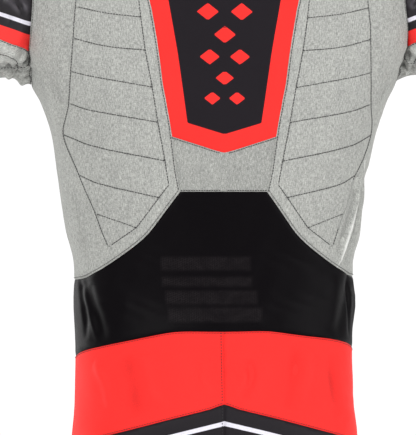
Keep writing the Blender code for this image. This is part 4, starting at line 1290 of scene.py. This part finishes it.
cloths = {
    "grey": greyMelange("grey_melange", False),
    # The back's tail: the same grey cloth, darker all over.
    "tail": greyMelange("tail_melange", False, 0.84),
    "quilted": greyMelange("quilted_melange", True),
    "red": plainWeave("red_twill", paint["red"], 0.75, 0.15, 0.02),
    "black": plainWeave("black_twill", paint["black"], 0.60, 0.25, 0.02),
    "lumbar": plainWeave("black_stretch", paint["deepBlack"], 0.42, 0.06, 0.0, band=meshBands),
    "back": plainWeave("back_print", paint["black"], 0.70, 0.12, 0.02, printed=backPrint),
    "cap": plainWeave("sleeve_print", paint["black"], 0.42, 0.32, 0.0, printed=capPrint),
    "leg": plainWeave("leg_print", paint["black"], 0.62, 0.20, 0.02, printed=legPrint),
}
print("materials", len(cloths))

# Seam lines that two pieces share, finer than the solids' own.
neckSide = (0.5, form["neck"])
waistSide = (0.5, form["waistSeam"])
hipSide = (0.5, form["hipSeam"])
legSide = (0.5, form["legSeam"])
ankleSide = (0.5, form["ankleSeam"])
crotch = (0.0, form["crotchPoint"])
seatLine = spread(onBody(seams["seat"]) + [hipSide], 24)
chevronLine = spread(onBody(seams["chevron"]) + [legSide], 24)
stripLine = spread([shoulderSplit] + onBody(seams["strip"]), 26)
tailLine = spread(onBody(seams["tail"]), 6)
vLine = spread(onBody(seams["v"]), 6)
tailFootLine = spread(onBody(seams["tailFoot"]), 5)
lumbarLine = spread(onBody(seams["lumbar"]) + [waistSide], 26)
neckLine = spread([(0.0, form["neck"]), neckSide], 12)
shoulderInner = spread([neckSide, shoulderSplit], 3)
shoulderOuter = spread([shoulderSplit, shoulderTip], 6)


# The edge of the front fly, a few millimetres beside the front middle.
def flyLine(start, end, count):
    levels = np.linspace(start, end, count + 1)
    share = form["flyHalf"] / ringsAt(torsoRings, levels)[:, 3]
    turns = 1 - np.arcsin(share ** (form["tubePower"] / 2)) / math.pi
    return [tuple(place) for place in np.stack([turns, levels], 1)]


flyChest = flyLine(form["neck"], form["waistSeam"], 40)
flyWaist = flyLine(form["waistSeam"], form["hipSeam"], 8)
flyHip = flyLine(form["hipSeam"], form["flyEnd"], 8)
flyFoot = (1.0, form["flyEnd"])
neckFront = spread([neckSide, flyChest[0]], 12)
waistLine = spread([waistSide, flyWaist[0]], 20)
hipLine = spread([hipSide, flyHip[0]], 20)
legLine = spread([legSide, (0.75, -0.618), flyHip[-1]], 20)
sideChest = spread([armpit, waistSide], 22)
sideWaist = spread([waistSide, hipSide], 8)
sideHip = spread([hipSide, legSide], 8)
seatMiddle = spread([seatLine[0], chevronLine[0]], 8)
crotchBack = spread([chevronLine[0], crotch], 20)
crotchFront = spread([flyFoot, (1.0, form["crotchPoint"])], 18)
inseam = spread([crotch, (0.0, form["ankleSeam"])], 50)
outseam = spread([legSide, ankleSide], 60)
hemBack = spread([(0.0, form["ankleSeam"]), ankleSide], 14)
hemFront = spread([ankleSide, (1.0, form["ankleSeam"])], 14)
armholeEnd = form["sleeveTurn"] - 0.0001  # just short of a full turn
armholeBackLine = [tuple(place) for place in armholePlace(np.linspace(0, halfTurn, 37))]
armholeFrontLine = [tuple(place) for place in armholePlace(np.linspace(halfTurn, armholeEnd, 37))]
armholeFrontLine[-1] = armpit


def flip(places):
    return [(-turn, level) for turn, level in places]


# A loop that is the same on both sides. The outline runs from middle to middle.
def withMirror(outline):
    return outline + flip(outline[1:-1])[::-1]


# One open line of places from several that meet end to end.
def chain(*lines):
    joined = []
    for line in lines:
        joined += list(line)[:-1]
    return joined + [lines[-1][-1]]


def back(line):
    return list(line)[::-1]


# Edge of the back's black middle, and its small lozenges: middle x and z, half width and half height.
blackBack = [(0.0703, -0.08), (0.0614, -0.137), (0.0508, -0.1975), (0.0404, -0.2708), (0.0, -0.2831)]
lozenges = [
    (0.0, -0.072, 0.013, 0.01),
    (0.02, -0.098, 0.013, 0.01),
    (0.0, -0.124, 0.013, 0.01),
    (0.0185, -0.15, 0.012, 0.0095),
    (0.0, -0.175, 0.012, 0.0095),
    (0.0165, -0.199, 0.011, 0.0085),
    (0.0, -0.222, 0.01, 0.008),
    (0.0135, -0.244, 0.009, 0.007),
]


def foldedFlat(points):
    return np.stack([np.abs(points[:, 0]), points[:, 2]], 1)


# Marks of the printed patterns, in metres. This one is above 0 in the red border.
def backBorder(points, places):
    flat = foldedFlat(points)
    outline = np.array([(0.0, -0.06)] + blackBack)
    mirrored = np.concatenate([outline, outline[1:-1][::-1] * [-1, 1]])
    away = toSegments(flat, outline, False)
    return np.where(insideLoop(flat, mirrored), -away, away)


# Above 0 in the lozenges.
def backLozenge(points, places):
    x, z = foldedFlat(points).T
    field = np.full(len(points), -1.0)
    for middleX, middleZ, halfX, halfZ in lozenges:
        size = 1 / math.hypot(1 / halfX, 1 / halfZ)
        near = 1 - np.abs(x - middleX) / halfX - np.abs(z - middleZ) / halfZ
        field = np.maximum(field, near * size)
    return field


# Height above the slanted lower edge of the sleeve's stripes.
def capHeight(points, places=None):
    return points[:, 2] - form["capStart"] - form["capSlope"] * (np.abs(points[:, 0]) - form["capMiddle"])


# Distance below the red seat and hips.
def belowSeat(points, places):
    flat = np.abs(places * [1, 0]) + places * [0, 1]
    return toSegments(flat, np.array(chain(chevronLine, legLine)) * surfaces["body"]["scale"], False)


# Distance to the nearest quilting line, for the painted shade of its groove.
def quiltAway(points, places):
    lines = [spread(line, 16, (1.0, 1.0)) for line in quiltLines]
    lines += [quiltInner, spread(quiltOuter, 60, (1.0, 1.0))]
    away = np.min([toSegments(foldedFlat(points), line, False) for line in lines], axis=0)
    return np.where(points[:, 1] < 0, away, 1.0)


# The long fold beside the right waist: its crest as x and z seen from behind, how fast and how far
# the painted highlight along the crest fades at its ends, and the levels between which it covers the
# quilting's outer line.
waistFold = {
    "crest": [(0.1656, -0.3206), (0.1617, -0.3415), (0.153, -0.3606), (0.1475, -0.3773),
              (0.1426, -0.3928), (0.1374, -0.4106), (0.1345, -0.4235)],
    "fade": 0.3,
    "reach": 0.012,
    "covers": (-0.334, -0.384),
}


# Signed distance to the crest of the long fold, for its painted highlight.
def crestAway(points, places):
    x, y, z = points.T
    crest = waistFold["crest"]
    past = np.maximum(z - crest[0][1], crest[-1][1] - z)
    away = x - lineAt(crest, z, 1, 0) + np.clip(past, 0, 1) * waistFold["fade"]
    return np.where((y < 0) & (past < waistFold["reach"]), away, 1.0)


# Four bands of fine holes, left of the middle: top, foot, left and right.
meshRows = [
    (-0.4165, -0.4307, -0.067, 0.03),
    (-0.4384, -0.4482, -0.066, 0.032),
    (-0.4537, -0.4679, -0.062, 0.038),
    (-0.4722, -0.4875, -0.059, 0.043),
]


# Above 0 in the bands.
def meshBand(points, places):
    x, y, z = points.T
    field = np.full(len(points), -1.0)
    for top, foot, left, right in meshRows:
        inside = np.minimum(np.minimum(top - z, z - foot), np.minimum(x - left, right - x))
        field = np.maximum(field, inside)
    return np.where(y < 0, field, -1.0)


pieces = {}


# A piece's loop of places on its form, the spacing of its points and how often they are halved.
def addPiece(name, surface, loop, spacing, splits, cloth, slotName, marks=None, **more):
    piece = {"name": name, "surface": surface, "loop": loop, "spacing": spacing, "splits": splits, **more}
    piece["made"] = sewPiece(piece, cloths[cloth], marks or {})
    pieces[name] = piece


def addPair(name, *rest, **more):
    addPiece(name + "_right", *rest, **more)
    addPiece(name + "_left", *rest, flipped=True, **more)


# Back pieces
backLoop = withMirror(chain(neckLine, shoulderInner, stripLine, vLine))
addPiece("back_centre", "body", backLoop, 0.0065, 2, "back", "printed_cloth",
         {"border": backBorder, "lozenge": backLozenge})
tailLoop = withMirror(chain(back(vLine), tailLine, tailFootLine))
addPiece("back_tail", "body", tailLoop, 0.009, 2, "tail", "grey_cloth")
lumbarLoop = withMirror(chain(back(tailFootLine), lumbarLine, sideWaist, back(seatLine)))
addPiece("lumbar", "body", lumbarLoop, 0.010, 2, "lumbar", "black_stretch", {"band": meshBand})
sideBackLoop = chain(stripLine, tailLine, lumbarLine, back(sideChest), armholeBackLine,
                     back(shoulderOuter))[:-1]
addPair("back_side", "body", sideBackLoop, 0.009, 2, "quilted", "grey_cloth",
        {"quilt": quiltAway, "crest": crestAway}, quilted=True)
seatLoop = chain(seatLine, sideHip, back(chevronLine), back(seatMiddle))[:-1]
addPair("seat", "body", seatLoop, 0.010, 2, "red", "red_cloth")
legBackLoop = chain(chevronLine, outseam, back(hemBack), back(inseam), back(crotchBack))[:-1]
addPair("leg_back", "body", legBackLoop, 0.009, 1, "leg", "black_cloth", {"chevron": belowSeat})

# Fronts
innerFront = [(1.0 - turn, level) for turn, level in inseam]
legFrontLoop = chain(legLine, [flyHip[-1], flyFoot], crotchFront, innerFront, back(hemFront),
                     back(outseam))[:-1]
addPair("leg_front", "body", legFrontLoop, 0.009, 1, "leg", "black_cloth", {"chevron": belowSeat})
hipLoop = chain(hipLine, flyHip, back(legLine), back(sideHip))[:-1]
addPair("hip_front", "body", hipLoop, 0.009, 1, "red", "red_cloth")
waistLoop = chain(waistLine, flyWaist, back(hipLine), back(sideWaist))[:-1]
addPair("waist_front", "body", waistLoop, 0.009, 1, "lumbar", "black_stretch")
chestLoop = chain(neckFront, flyChest, back(waistLine), back(sideChest), back(armholeFrontLine),
                  back(shoulderOuter), back(shoulderInner))[:-1]
addPair("chest_front", "body", chestLoop, 0.008, 1, "grey", "grey_cloth")
flySide = chain(flyChest, flyWaist, flyHip)
otherSide = [(2 - turn, level) for turn, level in flySide]
flyLoop = [(1.0, form["neck"])] + otherSide + [flyFoot] + flySide[::-1]
addPiece("front_fly", "body", flyLoop, 0.006, 1, "black", "black_cloth")
print("body pieces", len(pieces))

# Sleeves: turns at which the under piece begins and ends, and how the caps' lower edge is found.
sleeveCut = {"under": 2, "farStation": 8.0, "search": 36, "capPoints": 55}


# Station at which the slanted stripe crosses the sleeve, for each place round it.
def capEdgeStation(turn):
    low = np.zeros(len(turn))
    high = np.full(len(turn), sleeveCut["farStation"])
    for _ in range(sleeveCut["search"]):
        middle = (low + high) / 2
        above = capHeight(sleevePoint(turn, middle)) > 0
        low = np.where(above, middle, low)
        high = np.where(above, high, middle)
    return low


underRight = sleeveCut["under"]
underLeft = form["sleeveTurn"] - underRight
capEnd = form["sleeveTurn"] - form["capTurn"]
capTurns = np.linspace(form["capTurn"], capEnd, sleeveCut["capPoints"])
capEdge = list(zip(capTurns, capEdgeStation(capTurns)))
capEdge[0] = (capTurns[0], 0.0)
capEdge[-1] = (capTurns[-1], 0.0)
capArmhole = [(turn, 0.0) for turn in capTurns]
addPair("sleeve_cap", "sleeve", chain(capEdge, back(capArmhole))[:-1], 0.009, 2, "cap",
        "printed_cloth", {"height": capHeight})
stationSteps = np.linspace(0, form["armEnd"], 56)
underLine = {turn: [(turn, station) for station in stationSteps]
             for turn in (-underRight, underRight, underLeft)}
hemUpper = [(turn, form["armEnd"]) for turn in np.linspace(underRight, underLeft, 41)]
lowBack = [(turn, 0.0) for turn in np.linspace(underRight, form["capTurn"], 4)]
lowFront = [(turn, 0.0) for turn in np.linspace(capEnd, underLeft, 4)]
upperLoop = chain(lowBack, capEdge, lowFront, underLine[underLeft], back(hemUpper),
                  back(underLine[underRight]))
addPair("sleeve_upper", "sleeve", upperLoop[:-1], 0.0095, 2, "grey", "grey_cloth")
underTop = [(turn, 0.0) for turn in np.linspace(-underRight, underRight, 13)]
underHem = [(turn, form["armEnd"]) for turn in np.linspace(-underRight, underRight, 13)]
underLoop = chain(underTop, underLine[underRight], back(underHem), back(underLine[-underRight]))[:-1]
addPair("sleeve_under", "sleeve", underLoop, 0.009, 2, "grey", "grey_cloth")
print("sleeves", len(pieces))

# Cuffs and collar: heights of their ribs and rolled hem, and where along the band they fade.
cuff = {
    "rib": 0.0003,
    "ribbed": (0.1, 0.95),
    "soft": 0.6,
    "dipOver": 0.08,
    "roll": 0.0006,
    "rollOver": 0.05,
    "seamAway": 0.01,
}


# A band of cloth with a rolled hem, from its seam to its edge.
def bandPiece(name, surface, turns, stations, closed, flipped=False):
    side = [-1 if flipped else 1, 1, 1]
    outer = []
    normalRows = []
    for station, part in zip(stations, np.linspace(0, 1, len(stations))):
        place = np.full(len(turns), station)
        points = surfaces[surface]["point"](turns, place)
        normals = mitred(points, surfaces[surface]["normal"](turns, place)) * side
        points = points * side
        ribbed = cuff["ribbed"][0] < part < cuff["ribbed"][1]
        rib = cuff["rib"] * np.cos(np.arange(len(turns)) * math.pi) * ribbed
        dip = wall["seamDip"] * math.exp(-(part / cuff["dipOver"]) ** 2)
        roll = cuff["roll"] * math.exp(-((1 - part) / cuff["rollOver"]) ** 2)
        rise = rib + (ripple(points) + creaseRise(points)) * cuff["soft"] - dip - roll
        outer.append(settled(points + normals * rise[:, None]))
        normalRows.append(normals)
    inner = [face - normals * wall["thickness"] for face, normals in zip(outer, normalRows)]
    sheet = outer + inner[::-1]
    across = len(turns)
    count = len(sheet)
    faces = []
    for row in range(count):
        below = (row + 1) % count
        for i in range(across if closed else across - 1):
            j = (i + 1) % across
            faces.append((row * across + i, row * across + j, below * across + j, below * across + i))
    if not closed:
        for i in (0, across - 1):
            for row in range(len(outer) - 1):
                ring = (row, row + 1, count - 2 - row, count - 1 - row)
                faces.append(tuple(r * across + i for r in ring))
    points = np.concatenate(sheet)
    a, b, _, d = [points[corner] for corner in faces[0]]
    if np.cross(b - a, d - a) @ normalRows[0][0] < 0:
        faces = [face[::-1] for face in faces]
    made = addMesh(name + "_cloth", points, faces, cloths["black"])
    heights = list(stations) + list(stations)[::-1]
    dressed(made, name, surface,
            np.array([(turn, height) for height in heights for turn in turns]),
            {"seam": np.full(len(points), cuff["seamAway"]),
             "reverse": np.repeat([0.0, 1.0], len(points) // 2),
             # the crease height, for painted shade and painted highlight
             "bend": creaseRise(points)})
    pieces[name] = {"name": name, "made": made, "surface": surface}


wristTurns = np.arange(0, form["sleeveTurn"], form["sleeveTurn"] / 192)
wristStations = np.linspace(form["armEnd"], form["cuffEnd"], 15)
ankleTurns = np.arange(0, 1, 1 / 192)
ankleLevels = np.linspace(form["ankleSeam"], form["ankleHem"], 15)
for flipped, side in ((False, "right"), (True, "left")):
    bandPiece("wrist_cuff_" + side, "sleeve", wristTurns, wristStations, True, flipped)
    bandPiece("ankle_cuff_" + side, "body", ankleTurns, ankleLevels, True, flipped)
bandPiece("collar", "collar", np.linspace(-0.999, 0.999, 241), np.linspace(0, 1, 15), False)
print("bands", len(pieces))

# The side that each piece's name ends with, if any.
for name, piece in pieces.items():
    side = "_" + name.rpartition("_")[2] if name.endswith(("_left", "_right")) else ""
print("sheets", len(pieces))

# Sewing threads: pitch and length of the stitches, and the radius of a thread.
stitches = {
    "fine": (0.0031, 0.0028),
    "under": (0.0036, 0.0028),
    "plain": (0.004, 0.003),
    "long": (0.005, 0.0036),
    "middle": (0.0032, 0.0018),
    "tailTop": (0.0028, 0.0024),
    "tailFoot": (0.0028, 0.0021),
}
threadRadius = 0.00048
threadLift = 0.35  # of the radius, above the cloth
threads = {"dark": [], "grey": [], "red": [], "black": []}


# A flat line moved sideways, to the left of its way, in metres.
def offsetLine(line, scale, shift):
    flat = np.asarray(line, float) * scale
    ahead = np.gradient(flat, axis=0)
    ahead /= np.maximum(np.linalg.norm(ahead, axis=1), 1e-9)[:, None]
    return (flat + np.stack([-ahead[:, 1], ahead[:, 0]], 1) * shift) / scale


# Stitches along a line of places on a piece, kept as starts, ends and normals.
def sewLine(pieceName, line, shift=0.0, colour="dark", kind="fine"):
    piece = pieces[pieceName]
    pitch, length = stitches[kind]
    line = np.asarray(line, float)
    moved = offsetLine(line, surfaces[piece["surface"]]["scale"], shift) if shift else line
    steps = np.linalg.norm(np.diff(onCloth(piece, moved)[0], axis=0), axis=1)
    apart = np.concatenate([[True], steps > 1e-6])
    keys = np.concatenate([[0], np.cumsum(steps)])[apart]
    moved = moved[apart]
    count = int(keys[-1] / pitch)
    if count < 1:
        return
    middles = (np.arange(count) + 0.5) * pitch
    ends = []
    for at in (middles - length / 2, middles + length / 2):
        places = np.stack([np.interp(at, keys, moved[:, 0]), np.interp(at, keys, moved[:, 1])], 1)
        ends.append(onCloth(piece, places, threadRadius * threadLift)[:2])
    threads[colour].append((ends[0][0], ends[1][0], ends[0][1]))


# A stitch as a short bent rod: part of its length, width and lift in radii.
rodRings = [(0.0, 0.35, -0.6), (0.18, 0.95, 0.1), (0.5, 1.0, 0.45), (0.82, 0.95, 0.1), (1.0, 0.35, -0.6)]
rodSides = 5


# All stitches of one colour in one mesh.
def threadMesh(name, rows, cloth):
    angles = [2 * math.pi * i / rodSides for i in range(rodSides)]
    points = []
    faces = []
    for starts, ends, normals in rows:
        across = unit(np.cross(unit(ends - starts), normals))
        for start, end, normal, side in zip(starts, ends, normals, across):
            base = len(points)
            for part, width, lift in rodRings:
                middle = start + (end - start) * part + normal * lift * threadRadius
                points += [middle + (side * math.cos(angle) + normal * math.sin(angle))
                           * threadRadius * width for angle in angles]
            for row in range(len(rodRings) - 1):
                first = base + row * rodSides
                for i in range(rodSides):
                    a, b = first + i, first + (i + 1) % rodSides
                    faces.append((a, b, b + rodSides, a + rodSides))
            last = base + (len(rodRings) - 1) * rodSides
            faces.append(tuple(base + i for i in range(rodSides))[::-1])
            faces.append(tuple(last + i for i in range(rodSides)))
    made = addMesh(name, points, faces, cloth)
    print(name, len(faces), "faces")


# Wavy seam under each arm, as turn and station.
underarmLine = [(3.62, 2.3), (3.6, 1.85), (3.48, 1.42), (3.15, 1.09), (2.7, 0.96), (2.04, 0.86)]
underarmLine = spread(underarmLine, 30, surfaces["sleeve"]["scale"])
lowArmhole = [(turn, 0.0) for turn in np.linspace(underRight, form["capTurn"], 6)]
quiltOuterLine = onBody(spread(quiltOuter, 120, (1.0, 1.0)))


# Quilting's inner edge, straight from corner to corner.
def innerQuiltLine(corners):
    steps = [np.linspace(0, 1, 24)[:, None] * (np.array(end) - start) + start
             for start, end in zip(corners, corners[1:])]
    return onBody(np.concatenate(steps))


# Stitched seams of both sides: piece, line, shift from the line, colour and kind of stitch.
sewnSeams = [
    ("back_side", chain(stripLine, tailLine), 0.0013),
    ("back_side", lumbarLine, 0.0023, "grey"),
    ("back_side", armholeBackLine, 0.0026, "grey"),
    ("seat", seatLine, -0.0015, "red"),
    ("seat", chevronLine, 0.0016, "red"),
    ("leg_back", outseam, -0.0026, "black", "long"),
    ("sleeve_upper", capEdge, 0.0009),
    ("sleeve_upper", lowArmhole, 0.0014),
    ("sleeve_under", underTop, 0.0014),
    ("sleeve_upper", underarmLine),
    ("sleeve_upper", underLine[underRight], -0.0014, "dark", "under"),
    ("sleeve_upper", underLine[underLeft], 0.0014, "dark", "under"),
    ("chest_front", flyChest, 0.003, "grey", "plain"),
    ("chest_front", waistLine, 0.0022, "grey", "plain"),
    ("waist_front", flyWaist, 0.0026, "black", "plain"),
    ("hip_front", hipLine, -0.0018, "red", "plain"),
    ("hip_front", legLine, 0.0018, "red", "plain"),
    ("leg_front", innerFront, 0.0026, "black", "long"),
]
quiltSeams = [onBody(spread(line, 30, (1.0, 1.0))) for line in quiltLines[:-1]]
quiltSeams += [innerQuiltLine(quiltInner[first:last]) for first, last in ((0, 8), (7, 11))]
coverTop, coverFoot = waistFold["covers"]
outerSeams = {
    "right": [[place for place in quiltOuterLine if place[1] > coverTop],
              [place for place in quiltOuterLine if place[1] < coverFoot]],
    "left": [quiltOuterLine],
}
for side in ("right", "left"):
    for line in quiltSeams + outerSeams[side]:
        sewLine("back_side_" + side, line)
    for pieceName, *rest in sewnSeams:
        sewLine(pieceName + "_" + side, *rest)
sewLine("seat_left", seatMiddle, 0.001, "dark", "middle")
sewLine("leg_back_left", crotchBack, 0.001, "dark", "middle")
sewLine("back_tail", vLine, 0.0013, "dark", "tailTop")
sewLine("back_tail", flip(vLine), -0.0013, "dark", "tailTop")
sewLine("back_tail", tailFootLine, -0.0014, "dark", "tailFoot")
sewLine("back_tail", flip(tailFootLine), 0.0014, "dark", "tailFoot")


def threadCloth(name, colour):
    made, tree, shader = newMaterial(name)
    place = addNode(tree, "ShaderNodeTexCoord").outputs["Object"]
    twist = noise(tree, place, 1.0, 0.5, 2600)
    dark = tuple(c * 0.6 for c in colour)
    feed(tree, shader, {"Base Color": ramp(tree, twist, (0.35, dark), (0.65, colour)), "Roughness": 0.6})
    bumped(tree, shader, twist, 0.3, 0.0001)
    return made


for name, colour, slotName in (("dark", (0.018, 0.016, 0.018), "black_cloth"),
                               ("grey", (0.15, 0.15, 0.145), "grey_cloth"),
                               ("red", (0.42, 0.012, 0.012), "red_cloth"),
                               ("black", (0.012, 0.010, 0.012), "black_cloth")):
    threadMesh("thread_" + name, threads[name], threadCloth("thread_" + name, colour))

# Studio: a floor that fades to white with distance, the world's light, and four lamps.
studio = {
    "floorBelow": 0.006,
    "floorHalf": 9.0,
    "floorColour": (0.9, 0.9, 0.9),
    "paleShare": 0.985,
    "glow": [(0.2, 0.0), (0.62, 0.45)],  # share of the floor's half, and how white it glows
    "worldLight": 0.6,
    "worldShown": 0.45,
    # place, what the lamp points at, width and height, and power
    "key": ((-1.6, -2.4, 0.9), (0, 0, -0.4), (1.3, 1.6), 50),
    "fill": ((2.3, -1.7, 0.2), (0.1, 0, -0.35), (1.2, 1.8), 36),
    "front_key": ((1.4, 2.6, 0.8), (0, 0, -0.6), (1.6, 1.8), 50),
    "front_fill": ((-2.0, 2.0, 0.0), (0, 0, -0.7), (1.2, 1.8), 22),
}


def plainStage(name):
    made, tree, shader = newMaterial(name)
    place = addNode(tree, "ShaderNodeTexCoord").outputs["Object"]
    grain = noise(tree, place, 3.0, 0.5, 6.0)
    pale = tuple(c * studio["paleShare"] for c in studio["floorColour"])
    far = addNode(tree, "ShaderNodeVectorMath", operation="LENGTH")
    feed(tree, far, {0: place})
    share = calculated(tree, "DIVIDE", far.outputs["Value"], studio["floorHalf"])
    feed(tree, shader, {
        "Base Color": ramp(tree, grain, (0.4, pale), (0.6, studio["floorColour"])),
        "Roughness": 0.9,
        "Emission Color": ramp(tree, share, *studio["glow"]),
        "Emission Strength": 1.0,
    })
    return made


floorZ = form["ankleHem"] - studio["floorBelow"]
floorHalf = studio["floorHalf"]
floorCorners = [(x * floorHalf, y * floorHalf, floorZ) for x, y in ((-1, -1), (1, -1), (1, 1), (-1, 1))]
floorMesh = bpy.data.meshes.new("floor")
floorMesh.from_pydata(floorCorners, [], [(0, 1, 2, 3)])
floorMesh.materials.append(plainStage("pale_floor"))
floor = bpy.data.objects.new("floor", floorMesh)
bpy.context.scene.collection.objects.link(floor)

world = bpy.data.worlds.new("studio")
world.use_nodes = True
worldTree = world.node_tree
seen = addNode(worldTree, "ShaderNodeLightPath")
strength = addNode(worldTree, "ShaderNodeMath", operation="MULTIPLY_ADD")
feed(worldTree, strength, {0: seen.outputs["Is Camera Ray"], 1: studio["worldShown"],
                           2: studio["worldLight"]})
feed(worldTree, worldTree.nodes["Background"], {"Color": (1, 1, 1), "Strength": strength.outputs[0]})
bpy.context.scene.world = world
bpy.context.scene.view_settings.view_transform = "Standard"

for name in ("key", "fill", "front_key", "front_fill"):
    place, target, size, power = studio[name]
    lamp = bpy.data.lights.new(name, "AREA")
    lamp.shape = "RECTANGLE"
    lamp.size, lamp.size_y = size
    lamp.energy = power
    made = bpy.data.objects.new(name, lamp)
    made.location = place
    made.rotation_euler = (Vector(target) - Vector(place)).to_track_quat("-Z", "Y").to_euler()
    bpy.context.scene.collection.objects.link(made)

# The photo's view: how far the camera stands round, its distance and height in metres, and the
# picture's height and middle in pixels with the size of one at the body.
eye = {
    "yaw": math.radians(5.5),
    "distance": 4.0,
    "height": -0.3734,
    "pixel": 0.00112,
    "pictureHeight": 435,
    "pictureMiddle": 208,
    "bodyMiddle": 213.5,
    "sensor": 36,
}
right = Vector((math.cos(eye["yaw"]), -math.sin(eye["yaw"]), 0))
ahead = Vector((math.sin(eye["yaw"]), math.cos(eye["yaw"]), 0))
aside = (eye["pictureMiddle"] - eye["bodyMiddle"]) * eye["pixel"]
cameraData = bpy.data.cameras.new("camera")
cameraData.sensor_width = eye["sensor"]
cameraData.lens = eye["sensor"] * eye["distance"] / (eye["pictureHeight"] * eye["pixel"])
camera = bpy.data.objects.new("camera", cameraData)
camera.location = Vector((0, 0, eye["height"])) + right * aside - ahead * eye["distance"]
camera.rotation_euler = ahead.to_track_quat("-Z", "Y").to_euler()
bpy.context.scene.collection.objects.link(camera)
bpy.context.scene.camera = camera
